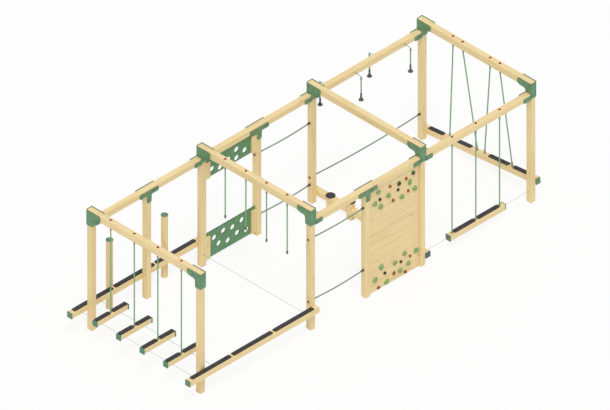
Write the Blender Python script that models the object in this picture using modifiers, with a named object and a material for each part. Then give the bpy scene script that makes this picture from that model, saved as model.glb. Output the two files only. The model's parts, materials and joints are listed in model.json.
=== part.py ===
"""A timber climbing frame for children: three bays long and one bay wide.

Metres, +Z up, +X along the frame, and the front faces -Y. The origin is on the ground, under the middle.
Stations a to d are the pairs of posts under a cross beam, and a bay is named by the stations at its ends.
"""

import math

import bmesh
import bpy
from mathutils import Matrix, Vector

# Timber
TIMBER = 0.100
PLANED_EDGE = 0.004
CLEARANCE = 0.0003

# The frame, centre to centre of the posts
BAY = 2.400
WIDTH = 2.370
CROSS_TOP = 2.260
CROSS_DEPTH = 0.120
LONG_DROP = 0.074

# Steel brackets
PLATE = 0.010
PLATE_LIP = 0.008
PLATE_WRAP = 0.002
CHEEK_DROP = 0.010
CHEEK_REACH = 0.190
CHEEK_TURN = 0.090
CHEEK_ROUND = 0.050
CHEEK_FILLET = 0.045
SOFFIT_REACH = 0.100
CHEEK_LEG = 0.092
CHEEK_CORNER = 0.025
ARM_REACH = 0.160
ARM_HEIGHT = 0.080
ARM_TAPER = 0.004
TEE_REACH = 0.205
TEE_LEG = 0.150
SEAT_DROP = 0.014

# Caps and anti-slip strips
CAP_THICKNESS = 0.014
CAP_LIP = 0.004
STRIP_WIDTH = 0.080
STRIP_THICKNESS = 0.018
BITE = 0.002

# Balance beams of bay ab, and the poles beside the back one
BALANCE_HEIGHT = 0.345
BALANCE_OVERHANG = 0.322
BALANCE_STRIPS = 3
BALANCE_STRIP_LENGTH = 0.856
BALANCE_STRIP_GAP = 0.044
BALANCE_STRIP_MARGIN = 0.100
POLE_DIAMETER = 0.110
POLE_HEIGHTS = (1.300, 1.170)
POLE_START = 0.590
POLE_PITCH = 1.200
POLE_CAP_HEIGHT = 0.016

# Ropes and their round knuckles
ROPE_DIAMETER = 0.022
KNUCKLE_DIAMETER = 0.040
FERRULE_DIAMETER = 0.032
FERRULE_LENGTH = 0.055

# Swinging steps of bay ab
STEP_PITCH = 0.513
STEP_LENGTH = 0.705
STEP_SIDE = 0.096
STEP_TOP = 0.524
STEP_EDGE = 0.018
ROPE_ROOM = 0.028

# Free ropes under cross beam b
FREE_ROPE_PITCH = 0.450
FREE_ROPE_DROP = 0.995
STOPPER_DIAMETER = 0.036

# Perforated panels
PANEL_THICKNESS = 0.019
PANEL_FOOT = 0.070
PANEL_SET_BACK = 0.044
LOWER_PANEL_HEIGHT = 0.475
UPPER_PANEL_HEIGHT = 0.374
CLEAT_WIDTH = 0.095
CLEAT_DROP = 0.050
CLEAT_RISE = 0.010
CLEAT_FACE = 0.006
HOLE_DIAMETER = 0.100
HOLE_PITCH = 0.100
HOLE_OFFSET = 0.018
HOLE_HEIGHTS = (0.319, 0.164, 0.354, 0.119)
UPPER_HOLE_PITCH = 0.178
UPPER_HOLE_OFFSET = -0.025
UPPER_HOLE_DEPTHS = ((0.254,), (0.154, 0.313), (0.254,), (0.154, 0.313), (0.254,))

# Climbing wall
WALL_BOARDS = 13
WALL_THICKNESS = 0.040
WALL_SET_BACK = 0.035
WALL_FOOT = 0.004
GROOVE_WIDTH = 0.010
GROOVE_DEPTH = 0.008
HOLD_DEPTH = 0.040
HOLD_SIZE = 0.088
# Each hold: how many boards up its middle is, and its share of the way from the mid-bay post to the corner post
HOLDS = (
    (12.19, 0.19), (12.09, 0.42), (11.78, 0.60), (11.90, 0.74), (12.10, 0.885),
    (11.00, 0.12), (11.19, 0.22), (11.05, 0.39), (11.07, 0.58), (11.20, 0.81),
    (10.26, 0.235), (10.12, 0.48), (9.96, 0.655), (10.24, 0.78), (10.08, 0.91),
    (2.66, 0.245), (2.15, 0.515), (2.66, 0.71), (1.94, 0.815), (2.22, 0.935),
    (1.51, 0.12), (1.63, 0.315), (0.97, 0.495), (1.87, 0.635), (0.86, 0.62), (1.18, 0.78),
    (0.26, 0.19), (0.44, 0.35), (0.33, 0.72),
)

# Beam with stepping pads at station c
STEPPING_HEIGHT = 0.115
STEPPING_PADS = 5
STEPPING_PITCH = 0.440
STEPPING_RISE = 0.115
PAD_DIAMETER = 0.155
PAD_THICKNESS = 0.020

# Inclined beam and the climbing ropes at station d
INCLINE_LOW = 0.070
INCLINE_HIGH = 0.300
CLIMB_ROPE_TOPS = (-0.510, -0.300, 0.300, 0.510)
CLIMB_ROPE_FEET = (-0.680, -0.080, 0.080, 0.680)

# Swinging balance beam of bay cd
SWING_BEAM_LENGTH = 1.220
SWING_BEAM_TOP = 0.258
SWING_ROPE_PITCH = 0.518

# Hand grips of bay cd
GRIP_COUNT = 4
GRIP_START = 0.355
GRIP_PITCH = 0.538
HOOK_REACH = 0.128
HOOK_DIAMETER = 0.018
GRIP_DROP = 0.292
GRIP_DIAMETER = 0.084
GRIP_NECK = 0.030
GRIP_HEIGHT = 0.145

# Ropes held between two posts: height above the ground and how far the middle hangs down
BACK_UPPER_ROPE = 1.510
BACK_LOWER_ROPE = 0.345
FRONT_UPPER_ROPE = 1.690
FRONT_LOWER_ROPE = 0.520
LONG_BACK_ROPE = 0.480
SHORT_SAG = 0.012
LONG_SAG = 0.030

HALF = TIMBER / 2
OUTSIDE = HALF + CLEARANCE
SHEATHED = OUTSIDE + PLATE
CROSS_BOTTOM = CROSS_TOP - CROSS_DEPTH
LONG_TOP = CROSS_BOTTOM - LONG_DROP
LONG_BOTTOM = LONG_TOP - TIMBER
ROPE_RADIUS = ROPE_DIAMETER / 2
KNUCKLE_RADIUS = KNUCKLE_DIAMETER / 2

# The origin lies under the middle of everything, so both ends and both rows are set out from their reach
LEFT_REACH = HALF + BALANCE_OVERHANG + CAP_THICKNESS
RIGHT_REACH = OUTSIDE + TIMBER
FRONT_REACH = OUTSIDE + TIMBER + CAP_LIP
BACK_REACH = OUTSIDE + TIMBER + POLE_DIAMETER - BITE + CAP_LIP
STATION_A = (LEFT_REACH - RIGHT_REACH - 3 * BAY) / 2
STATION = {letter: STATION_A + number * BAY for number, letter in enumerate("abcd")}
MIDDLE = (FRONT_REACH - BACK_REACH) / 2
ROW = {"front": MIDDLE - WIDTH / 2, "back": MIDDLE + WIDTH / 2}
OUTWARD = {"front": -1, "back": 1}

FRONT_PLANE = (math.radians(90), 0, 0)
SIDE_PLANE = (math.radians(90), 0, math.radians(90))

for old in list(bpy.data.objects):
    bpy.data.objects.remove(old, do_unlink=True)
FRAME = bpy.data.collections.new("climbing_frame")
TOOLS = bpy.data.collections.new("cutters_and_joined_pieces")
bpy.context.scene.collection.children.link(FRAME)
bpy.context.scene.collection.children.link(TOOLS)
TOOLS.hide_render = True


def material(name, colour, roughness, metallic=0.0):
    made = bpy.data.materials.new(name)
    made.use_nodes = True
    shader = made.node_tree.nodes["Principled BSDF"]
    shader.inputs["Base Color"].default_value = (*colour, 1.0)
    shader.inputs["Roughness"].default_value = roughness
    shader.inputs["Metallic"].default_value = metallic
    made.diffuse_color = (*colour, 1.0)
    return made


WOOD = material("planed_pine", (0.80, 0.64, 0.36), 0.65)
BRACKET_GREEN = material("bracket_green", (0.09, 0.28, 0.16), 0.40)
PANEL_GREEN = material("panel_green", (0.11, 0.31, 0.18), 0.45)
ROPE_GREEN = material("rope_green", (0.24, 0.40, 0.27), 0.85)
GRIP_GREEN = material("grip_green", (0.05, 0.13, 0.08), 0.55)


def finish(name, mesh, surface, at=(0, 0, 0)):
    obj = bpy.data.objects.new(name, mesh)
    obj.location = at
    mesh.materials.append(surface)
    FRAME.objects.link(obj)
    return obj


def box(name, low, high, surface, at=(0, 0, 0)):
    """A cuboid between two corners, which are given from the object's origin."""
    low, high = Vector(low), Vector(high)
    shape = bmesh.new()
    bmesh.ops.create_cube(shape, size=1)
    bmesh.ops.scale(shape, vec=high - low, verts=shape.verts)
    bmesh.ops.translate(shape, vec=(low + high) / 2, verts=shape.verts)
    mesh = bpy.data.meshes.new(name)
    shape.to_mesh(mesh)
    shape.free()
    return finish(name, mesh, surface, at)


def timber(name, low, high, surface=WOOD, at=(0, 0, 0), edge=PLANED_EDGE):
    """A cuboid with its long and short edges planed off."""
    obj = box(name, low, high, surface, at)
    planed = obj.modifiers.new("planed_edges", "BEVEL")
    planed.width = edge
    planed.segments = 1 if edge < 0.01 else 2
    return obj


def rod(name, start, end, radius, surface, at=(0, 0, 0), sides=10, end_radius=None):
    """A round bar, or a cone where the end radius differs, between two points."""
    start, end = Vector(start), Vector(end)
    along = end - start
    shape = bmesh.new()
    bmesh.ops.create_cone(
        shape,
        cap_ends=True,
        segments=sides,
        radius1=radius,
        radius2=radius if end_radius is None else end_radius,
        depth=along.length,
    )
    turn = along.to_track_quat("Z", "Y").to_matrix().to_4x4()
    shape.transform(Matrix.Translation((start + end) / 2) @ turn)
    mesh = bpy.data.meshes.new(name)
    shape.to_mesh(mesh)
    shape.free()
    mesh.shade_smooth()
    mesh.set_sharp_from_angle(angle=math.radians(50))
    return finish(name, mesh, surface, at)


def ball(name, centre, radius, surface, at=(0, 0, 0), squeeze=(1, 1, 1), sides=10, rings=6):
    """A round knuckle or hold. Its facets are turned half a step from those of a rod, so that the two cross cleanly."""
    shape = bmesh.new()
    bmesh.ops.create_uvsphere(shape, u_segments=sides, v_segments=rings, radius=radius)
    shape.transform(Matrix.Rotation(math.pi / sides, 4, "Z"))
    bmesh.ops.scale(shape, vec=squeeze, verts=shape.verts)
    bmesh.ops.translate(shape, vec=centre, verts=shape.verts)
    mesh = bpy.data.meshes.new(name)
    shape.to_mesh(mesh)
    shape.free()
    mesh.shade_smooth()
    return finish(name, mesh, surface, at)


def turned(name, profile, top, surface, at=(0, 0, 0), sides=12):
    """A solid of revolution about an upright axis, from a half profile that runs from its top to its foot."""
    shape = bmesh.new()
    rings = []
    for radius, height in profile:
        turns = [2 * math.pi * (step + 0.5) / sides for step in range(sides)]
        ring = [Vector((radius * math.cos(t), radius * math.sin(t), height)) + Vector(top) for t in turns]
        rings.append([shape.verts.new(place) for place in ring])
    for upper, lower in zip(rings, rings[1:]):
        for step in range(sides):
            after = (step + 1) % sides
            shape.faces.new((upper[step], lower[step], lower[after], upper[after]))
    shape.faces.new(rings[0])
    shape.faces.new(reversed(rings[-1]))
    mesh = bpy.data.meshes.new(name)
    shape.to_mesh(mesh)
    shape.free()
    mesh.shade_smooth()
    return finish(name, mesh, surface, at)


def mesh_of(curve_object, surface):
    """The curve object made a mesh, with its caps welded on."""
    bpy.context.view_layer.update()
    graph = bpy.context.evaluated_depsgraph_get()
    mesh = bpy.data.meshes.new_from_object(curve_object.evaluated_get(graph))
    shape = bmesh.new()
    shape.from_mesh(mesh)
    bmesh.ops.remove_doubles(shape, verts=shape.verts, dist=1e-5)
    shape.to_mesh(mesh)
    shape.free()
    mesh.materials.clear()
    name, placed = curve_object.name, curve_object.matrix_world.copy()
    bpy.data.objects.remove(curve_object, do_unlink=True)
    obj = finish(name, mesh, surface)
    obj.matrix_world = placed
    return obj


def plate(name, outline, thickness, plane, at, surface):
    """A flat plate with this outline, which lies in a named plane."""
    curve = bpy.data.curves.new(name, "CURVE")
    curve.dimensions = "2D"
    curve.fill_mode = "BOTH"
    curve.extrude = thickness / 2
    spline = curve.splines.new("POLY")
    spline.points.add(len(outline) - 1)
    for point, (across, up) in zip(spline.points, outline):
        point.co = (across, up, 0, 1)
    spline.use_cyclic_u = True
    obj = bpy.data.objects.new(name, curve)
    obj.rotation_euler = plane
    obj.location = at
    FRAME.objects.link(obj)
    return mesh_of(obj, surface)


def tube(name, points, diameter, surface):
    """A rope or bar along a chain of points."""
    curve = bpy.data.curves.new(name, "CURVE")
    curve.dimensions = "3D"
    curve.bevel_depth = diameter / 2
    curve.bevel_resolution = 2
    curve.use_fill_caps = True
    spline = curve.splines.new("POLY")
    spline.points.add(len(points) - 1)
    for point, place in zip(spline.points, points):
        point.co = (*place, 1)
    obj = bpy.data.objects.new(name, curve)
    FRAME.objects.link(obj)
    return mesh_of(obj, surface)


def combine(main, others, operation):
    """Joins or cuts the main piece, which keeps its name. The other pieces stay as hidden guides."""
    for other in others:
        FRAME.objects.unlink(other)
        TOOLS.objects.link(other)
        other.hide_render = True
        other.display_type = "WIRE"
        change = main.modifiers.new(other.name, "BOOLEAN")
        change.operation = operation
        change.solver = "EXACT"
        change.object = other
    weld = main.modifiers.new(f"{main.name}_seams", "WELD")
    weld.merge_threshold = 1e-5
    return main


def unite(main, *others):
    return combine(main, others, "UNION")


def cut(main, *cutters):
    return combine(main, cutters, "DIFFERENCE")


# Posts. The corner posts carry the cross beams, and the mid-bay posts carry a long beam on a tee bracket.
def post(name, x, row, top):
    return timber(f"post_{name}_{row}", (-HALF, -HALF, 0), (HALF, HALF, top), at=(x, ROW[row], 0))


for letter, x in STATION.items():
    for row in ROW:
        post(letter, x, row, CROSS_BOTTOM - CLEARANCE)

MID_POSTS = {("ab", "back"), ("bc", "back"), ("bc", "front")}
MID_TOP = LONG_BOTTOM - PLATE - 2 * CLEARANCE
for bay, row in sorted(MID_POSTS):
    post(bay, STATION[bay[0]] + BAY / 2, row, MID_TOP)


# Cross beams lie on the corner posts, and long beams hang lower, between the brackets of two stations.
for letter, x in STATION.items():
    timber(
        f"cross_beam_{letter}",
        (-HALF, ROW["front"] - HALF, CROSS_BOTTOM),
        (HALF, ROW["back"] + HALF, CROSS_TOP),
        at=(x, 0, 0),
    )

LONG_BEAMS = [("ab", "back"), ("bc", "back"), ("cd", "back"), ("bc", "front"), ("cd", "front")]
LONG_HALF = BAY / 2 - SHEATHED - CLEARANCE
for bay, row in LONG_BEAMS:
    timber(
        f"long_beam_{bay}_{row}",
        (-LONG_HALF, -HALF, LONG_BOTTOM),
        (LONG_HALF, HALF, LONG_TOP),
        at=(STATION[bay[0]] + BAY / 2, ROW[row], 0),
    )


# Corner brackets: two cheeks over the cross beam and the post, a plate across the outer face, a bent soffit
# inside the corner, and an arm on each face of a long beam where one arrives. The cheeks, arms and end plates on the
# far side from the front corner of station a stand a lip above the timber, and the near ones stop below its top edge.
LEG_BOTTOM = LONG_TOP - CHEEK_LEG
SEAT_BOTTOM = LONG_BOTTOM - SEAT_DROP


def quarter_turns(steps):
    return [math.radians(90) * step / steps for step in range(steps + 1)]


def cheek_outline(top):
    """The cheek seen from the side, with its outer edge at positive values: an arm along the beam, a leg down the post."""
    outer = SHEATHED - PLATE / 2
    inner = HALF + CHEEK_REACH
    leg = SHEATHED + PLATE_WRAP
    under = CROSS_BOTTOM - CLEARANCE - PLATE - PLATE_WRAP
    edge = [(outer, LEG_BOTTOM), (outer, top), (CHEEK_CORNER - inner, top), (-inner, top - CHEEK_CORNER)]
    for turn in quarter_turns(4):
        edge.append((-inner + CHEEK_TURN * (1 - math.cos(turn)), under + CHEEK_ROUND * (1 - math.sin(turn))))
    for turn in quarter_turns(4):
        edge.append((-leg - CHEEK_FILLET * (1 - math.sin(turn)), under - CHEEK_FILLET * (1 - math.cos(turn))))
    return edge + [(-leg, LEG_BOTTOM)]


def soffit_outline():
    """The bent plate that joins the cheeks inside the corner, under the beam and down the post."""
    leg = SHEATHED + PLATE_WRAP
    seat = CROSS_BOTTOM - CLEARANCE
    foot = LEG_BOTTOM + PLATE_WRAP
    middle = (-leg - CHEEK_FILLET, seat - PLATE - PLATE_WRAP - CHEEK_FILLET)
    bend = CHEEK_FILLET + PLATE_WRAP
    arc = [(middle[0] + bend * math.sin(turn), middle[1] + bend * math.cos(turn)) for turn in quarter_turns(4)]
    end = -HALF - SOFFIT_REACH
    return [(end, seat - PLATE), (end, seat), (-OUTSIDE, seat), (-OUTSIDE, foot), (-SHEATHED, foot), *arc[::-1]]


def has_long_beam(letter, row, side):
    bays = {-1: chr(ord(letter) - 1) + letter, 1: letter + chr(ord(letter) + 1)}
    return (bays[side], row) in LONG_BEAMS


def arm(name, x, y, side, face):
    """One arm: side is -1 or 1 along the beam, and face is -1 or 1 for the beam's front or back face."""
    reach = sorted((x + side * (OUTSIDE + PLATE / 2), x + side * (HALF + ARM_REACH)))
    depth = sorted((y + face * OUTSIDE, y + face * SHEATHED))
    top = SEAT_BOTTOM + ARM_HEIGHT if face < 0 else LONG_TOP + PLATE_LIP
    return box(name, (reach[0], depth[0], SEAT_BOTTOM), (reach[1], depth[1], top), BRACKET_GREEN)


def corner_bracket(letter, row):
    name = f"corner_bracket_{letter}_{row}"
    x, y, outward = STATION[letter], ROW[row], OUTWARD[row]
    middle = OUTSIDE + PLATE / 2
    cheeks = []
    for side, top in ((-1, CROSS_TOP - CHEEK_DROP), (1, CROSS_TOP + PLATE_LIP)):
        outline = [(outward * across, up) for across, up in cheek_outline(top)]
        piece = name if side < 0 else f"{name}_far_cheek"
        cheeks.append(plate(piece, outline, PLATE, SIDE_PLANE, (x + side * middle, y, 0), BRACKET_GREEN))
    across = SHEATHED + PLATE_WRAP
    face = sorted((y + outward * OUTSIDE, y + outward * SHEATHED))
    end_top = CROSS_TOP + (PLATE_LIP if outward > 0 else -CHEEK_DROP) - PLATE_WRAP
    end = box(
        f"{name}_end",
        (x - across, face[0], LEG_BOTTOM - PLATE_WRAP),
        (x + across, face[1], end_top),
        BRACKET_GREEN,
    )
    outline = [(outward * across, up) for across, up in soffit_outline()]
    width = 2 * (OUTSIDE + PLATE_WRAP)
    soffit = plate(f"{name}_soffit", outline, width, SIDE_PLANE, (x, y, 0), BRACKET_GREEN)
    arms = [
        arm(f"{name}_arm_{side}_{where}", x, y, side, where)
        for side in (-1, 1)
        for where in (-1, 1)
        if has_long_beam(letter, row, side)
    ]
    return unite(cheeks[0], cheeks[1], end, soffit, *arms)


for letter in STATION:
    for row in ROW:
        corner_bracket(letter, row)


# Tee brackets: a seat between the post and the beam, with a tee-shaped plate down each face.
def tee_outline(top):
    arm_bottom = LONG_BOTTOM - SEAT_DROP
    leg_bottom = LONG_BOTTOM - TEE_LEG
    right = [
        (HALF, leg_bottom),
        (HALF, arm_bottom),
        (TEE_REACH, arm_bottom + ARM_TAPER),
        (TEE_REACH, top),
    ]
    left = [(-across, up) for across, up in reversed(right)]
    return right + left


def tee_bracket(bay, row):
    name = f"tee_bracket_{bay}_{row}"
    x, y = STATION[bay[0]] + BAY / 2, ROW[row]
    seat_top = LONG_BOTTOM - CLEARANCE
    middle = OUTSIDE + PLATE / 2
    main = box(
        name,
        (x - HALF + PLATE_WRAP, y - middle, seat_top - PLATE),
        (x + HALF - PLATE_WRAP, y + middle, seat_top),
        BRACKET_GREEN,
    )
    faces = [
        plate(f"{name}_face_{side}", tee_outline(top), PLATE, FRONT_PLANE, (x, y + side * middle, 0), BRACKET_GREEN)
        for side, top in ((-1, SEAT_BOTTOM + ARM_HEIGHT), (1, LONG_TOP + PLATE_LIP))
    ]
    return unite(main, *faces)


for bay, row in sorted(MID_POSTS):
    tee_bracket(bay, row)


# Low beams of bay ab, bolted to the outer faces of the posts, with a cap on the free end and strips on top
def cap(name, low, high, at=(0, 0, 0)):
    return box(name, low, high, BRACKET_GREEN, at)


def balance_beam(row):
    outward = OUTWARD[row]
    low_x, high_x = -HALF - BALANCE_OVERHANG, BAY + HALF
    centre_y = outward * (OUTSIDE + HALF)
    at = (STATION["a"], ROW[row] + centre_y, BALANCE_HEIGHT)
    name = f"balance_beam_{row}"
    main = timber(name, (low_x, -HALF, 0), (high_x, HALF, TIMBER), at=at)
    extras = [
        cap(
            f"{name}_cap",
            (low_x - CAP_THICKNESS, -HALF - CAP_LIP, -CAP_LIP),
            (low_x + BITE, HALF + CAP_LIP, TIMBER + CAP_LIP),
            at,
        )
    ]
    for number in range(BALANCE_STRIPS):
        end = high_x - BALANCE_STRIP_MARGIN - number * (BALANCE_STRIP_LENGTH + BALANCE_STRIP_GAP)
        extras.append(
            box(
                f"{name}_strip_{number}",
                (end - BALANCE_STRIP_LENGTH, -STRIP_WIDTH / 2, TIMBER - BITE),
                (end, STRIP_WIDTH / 2, TIMBER + STRIP_THICKNESS),
                GRIP_GREEN,
                at,
            )
        )
    if row == "back":
        radius = POLE_DIAMETER / 2
        pole_y = outward * (HALF + radius - BITE)
        for number, height in enumerate(POLE_HEIGHTS):
            x = POLE_START + number * POLE_PITCH
            shaft_top = height - POLE_CAP_HEIGHT
            extras.append(
                rod(
                    f"{name}_pole_{number}",
                    (x, pole_y, -BALANCE_HEIGHT),
                    (x, pole_y, shaft_top + BITE - BALANCE_HEIGHT),
                    radius,
                    WOOD,
                    at,
                    sides=20,
                )
            )
            extras.append(
                rod(
                    f"{name}_pole_cap_{number}",
                    (x, pole_y, shaft_top - BALANCE_HEIGHT),
                    (x, pole_y, height - BALANCE_HEIGHT),
                    radius + CAP_LIP,
                    BRACKET_GREEN,
                    at,
                    sides=20,
                )
            )
    return unite(main, *extras)


for row in ROW:
    balance_beam(row)


# Low beam of station c: round pads along it, every second one raised on a block with a stump below
def stepping_beam():
    name = "stepping_beam"
    at = (STATION["c"] + OUTSIDE + HALF, 0, STEPPING_HEIGHT)
    front, back = ROW["front"] - HALF, ROW["back"] + HALF
    main = timber(name, (-HALF, front - BITE, 0), (HALF, back, TIMBER), at=at)
    extras = [
        cap(
            f"{name}_cap",
            (-HALF - CAP_LIP, front - CAP_THICKNESS, -CAP_LIP),
            (HALF + CAP_LIP, front - CLEARANCE, TIMBER + CAP_LIP),
            at,
        )
    ]
    for number in range(STEPPING_PADS):
        y = MIDDLE + (number - (STEPPING_PADS - 1) / 2) * STEPPING_PITCH
        raised = number % 2 == 1
        top = TIMBER + (STEPPING_RISE if raised else 0)
        extras.append(
            box(
                f"{name}_block_{number}",
                (-HALF + BITE, y - HALF, -STEPPING_HEIGHT),
                (HALF - BITE, y + HALF, top if raised else BITE),
                WOOD,
                at,
            )
        )
        extras.append(
            rod(
                f"{name}_pad_{number}",
                (0, y, top - BITE),
                (0, y, top + PAD_THICKNESS),
                PAD_DIAMETER / 2,
                GRIP_GREEN,
                at,
                sides=20,
            )
        )
    return unite(main, *extras)


stepping_beam()


# Low beam of station d: it climbs from the back post to the front post, with strips between the ropes
INCLINE_SLOPE = math.atan2(INCLINE_HIGH - INCLINE_LOW, WIDTH)
INCLINE_CENTRE = Vector(
    (
        STATION["d"] + OUTSIDE + HALF,
        MIDDLE,
        (INCLINE_LOW + INCLINE_HIGH) / 2 + HALF / math.cos(INCLINE_SLOPE),
    )
)


def on_incline(along):
    """A point on top of the inclined beam, at a level distance from its middle."""
    rise = -along * math.tan(INCLINE_SLOPE)
    return INCLINE_CENTRE + Vector((0, along, rise + HALF / math.cos(INCLINE_SLOPE)))


def incline_beam():
    name = "incline_beam"
    half_length = (WIDTH / 2 + HALF) / math.cos(INCLINE_SLOPE)
    main = timber(name, (-HALF, -half_length, -HALF), (HALF, half_length, HALF))
    extras = [
        cap(
            f"{name}_cap",
            (-HALF + BITE / 2, -half_length - CAP_THICKNESS, -HALF - CAP_LIP),
            (HALF - BITE / 2, -half_length + BITE, HALF + CAP_LIP),
        )
    ]
    feet = [foot / math.cos(INCLINE_SLOPE) for foot in CLIMB_ROPE_FEET]
    room = KNUCKLE_RADIUS + 3 * BITE
    stretches = [
        (-half_length + room, feet[0] - room),
        (feet[0] + room, feet[1] - room),
        (feet[2] + room, feet[3] - room),
        (feet[3] + room, half_length - room),
    ]
    for number, (start, end) in enumerate(stretches):
        extras.append(
            box(
                f"{name}_strip_{number}",
                (-STRIP_WIDTH / 2, start, HALF - BITE),
                (STRIP_WIDTH / 2, end, HALF + STRIP_THICKNESS),
                GRIP_GREEN,
            )
        )
    for piece in (main, *extras):
        piece.location = INCLINE_CENTRE
        piece.rotation_euler = (-INCLINE_SLOPE, 0, 0)
    return unite(main, *extras)


incline_beam()


# Perforated panels of the back of bay bc, between the posts, each held by a cleat on either post
PANEL_HALF = BAY / 4 - OUTSIDE


def panel(name, foot, height, holes):
    x, y = STATION["b"] + BAY / 4, ROW["back"] - HALF + PANEL_SET_BACK
    low, high = (x - PANEL_HALF, y, foot), (x + PANEL_HALF, y + PANEL_THICKNESS, foot + height)
    main = box(name, low, high, PANEL_GREEN)
    cutters = [
        rod(
            f"{name}_hole_{number}",
            (x + across, y - PANEL_THICKNESS, foot + up),
            (x + across, y + 2 * PANEL_THICKNESS, foot + up),
            HOLE_DIAMETER / 2,
            PANEL_GREEN,
            sides=16,
        )
        for number, (across, up) in enumerate(holes)
    ]
    cut(main, *cutters)
    cleats = []
    for side in (-1, 1):
        span = sorted((side * PANEL_HALF, side * (PANEL_HALF - CLEAT_WIDTH)))
        cleats.append(
            box(
                f"{name}_cleat_{side}",
                (x + span[0], ROW["back"] - HALF + CLEAT_FACE, foot + CLEAT_RISE),
                (x + span[1], y + BITE, foot + height - CLEAT_DROP),
                WOOD,
            )
        )
    return unite(main, *cleats)


def lower_holes():
    count = 2 * len(HOLE_HEIGHTS)
    for number in range(count):
        yield HOLE_OFFSET + (number - (count - 1) / 2) * HOLE_PITCH, HOLE_HEIGHTS[number % len(HOLE_HEIGHTS)]


def upper_holes():
    for number, depths in enumerate(UPPER_HOLE_DEPTHS):
        for down in depths:
            across = (number - (len(UPPER_HOLE_DEPTHS) - 1) / 2) * UPPER_HOLE_PITCH
            yield UPPER_HOLE_OFFSET + across, UPPER_PANEL_HEIGHT - down


UNDER_LONG_BEAM = LONG_BOTTOM - CLEARANCE
panel("lower_panel", PANEL_FOOT, LOWER_PANEL_HEIGHT, lower_holes())
panel("upper_panel", UNDER_LONG_BEAM - UPPER_PANEL_HEIGHT, UPPER_PANEL_HEIGHT, upper_holes())


# Climbing wall: boards with a vee groove between each two, and bolted holds on the front
def board_level(boards):
    """The height of so many boards, counted up from the wall's foot."""
    return WALL_FOOT + boards * (UNDER_LONG_BEAM - WALL_FOOT) / WALL_BOARDS


def wall_outline():
    """The boards seen from the end: the front face is at zero, with its grooves, and the back is flat."""
    edge = [(0, WALL_FOOT)]
    for number in range(1, WALL_BOARDS):
        middle = board_level(number)
        edge.append((0, middle - GROOVE_WIDTH / 2))
        edge.append((GROOVE_DEPTH, middle))
        edge.append((0, middle + GROOVE_WIDTH / 2))
    return edge + [(0, UNDER_LONG_BEAM), (WALL_THICKNESS, UNDER_LONG_BEAM), (WALL_THICKNESS, WALL_FOOT)]


def climbing_wall():
    name = "climbing_wall"
    length = BAY / 2 - 2 * OUTSIDE
    post_face = STATION["b"] + BAY / 2 + OUTSIDE
    front = ROW["front"] - HALF + WALL_SET_BACK
    main = plate(name, wall_outline(), length, SIDE_PLANE, (post_face + length / 2, front, 0), WOOD)
    holds = [
        ball(
            f"{name}_hold_{number}",
            (post_face + share * length, front, board_level(boards)),
            HOLD_SIZE / 2,
            GRIP_GREEN,
            squeeze=(1, HOLD_DEPTH / (HOLD_SIZE / 2), 1),
            sides=8,
            rings=5,
        )
        for number, (boards, share) in enumerate(HOLDS)
    ]
    return unite(main, *holds)


climbing_wall()


# Moving pieces. Each has its origin on its joint's axis, at the middle of the round knuckle it hangs from.
def knuckle(name, at, centre=(0, 0, 0)):
    return ball(name, centre, KNUCKLE_RADIUS, ROPE_GREEN, at)


def padded_beam(name, length, side, top, at, rope_places, edge):
    """A beam lying along X, with a cap at each end and strips that leave room for the ropes."""
    half_length, half_side = length / 2 - CAP_THICKNESS, side / 2
    main = timber(name, (-half_length, -half_side, top - side), (half_length, half_side, top), at=at, edge=edge)
    extras = []
    for end in (-1, 1):
        span = sorted((end * (half_length - BITE), end * length / 2))
        extras.append(
            cap(
                f"{name}_cap_{end}",
                (span[0], -half_side - CAP_LIP, top - side - CAP_LIP),
                (span[1], half_side + CAP_LIP, top + CAP_LIP),
                at,
            )
        )
    stops = [-half_length - BITE, *rope_places, half_length + BITE]
    for number, (start, end) in enumerate(zip(stops, stops[1:])):
        low = start + (0 if number == 0 else ROPE_ROOM)
        high = end - (0 if number == len(stops) - 2 else ROPE_ROOM)
        if high - low < 2 * ROPE_ROOM:
            continue
        extras.append(
            box(
                f"{name}_strip_{number}",
                (low, -STRIP_WIDTH / 2, top - BITE),
                (high, STRIP_WIDTH / 2, top + STRIP_THICKNESS),
                GRIP_GREEN,
                at,
            )
        )
    for number, place in enumerate(rope_places):
        extras.append(rod(f"{name}_rope_{number}", (place, 0, 0), (place, 0, top - BITE), ROPE_RADIUS, ROPE_GREEN, at))
        extras.append(knuckle(f"{name}_knuckle_{number}", at, (place, 0, 0)))
    return unite(main, *extras)


CROSS_PIVOT = CROSS_BOTTOM - CLEARANCE - KNUCKLE_RADIUS
LONG_PIVOT = LONG_BOTTOM - CLEARANCE - KNUCKLE_RADIUS

for number in range(4):
    at = (STATION["a"], MIDDLE + (1.5 - number) * STEP_PITCH, CROSS_PIVOT)
    padded_beam(f"swing_step_{number + 1}", STEP_LENGTH, STEP_SIDE, STEP_TOP - CROSS_PIVOT, at, (0,), STEP_EDGE)

padded_beam(
    "swing_beam",
    SWING_BEAM_LENGTH,
    TIMBER,
    SWING_BEAM_TOP - LONG_PIVOT,
    (STATION["c"] + BAY / 2, ROW["front"], LONG_PIVOT),
    (-SWING_ROPE_PITCH, 0, SWING_ROPE_PITCH),
    PLANED_EDGE,
)


def free_rope(number):
    name = f"free_rope_{number + 1}"
    at = (STATION["b"], MIDDLE + (1.5 - number) * FREE_ROPE_PITCH, CROSS_PIVOT)
    end = -FREE_ROPE_DROP + KNUCKLE_RADIUS
    main = rod(name, (0, 0, 0), (0, 0, end + STOPPER_DIAMETER / 2), ROPE_RADIUS, ROPE_GREEN, at)
    stopper = ball(
        f"{name}_stopper", (0, 0, end + STOPPER_DIAMETER / 2), STOPPER_DIAMETER / 2, GRIP_GREEN, at, (1, 1, 1.2)
    )
    return unite(main, knuckle(f"{name}_knuckle", at), stopper)


for number in range(4):
    free_rope(number)


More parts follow.
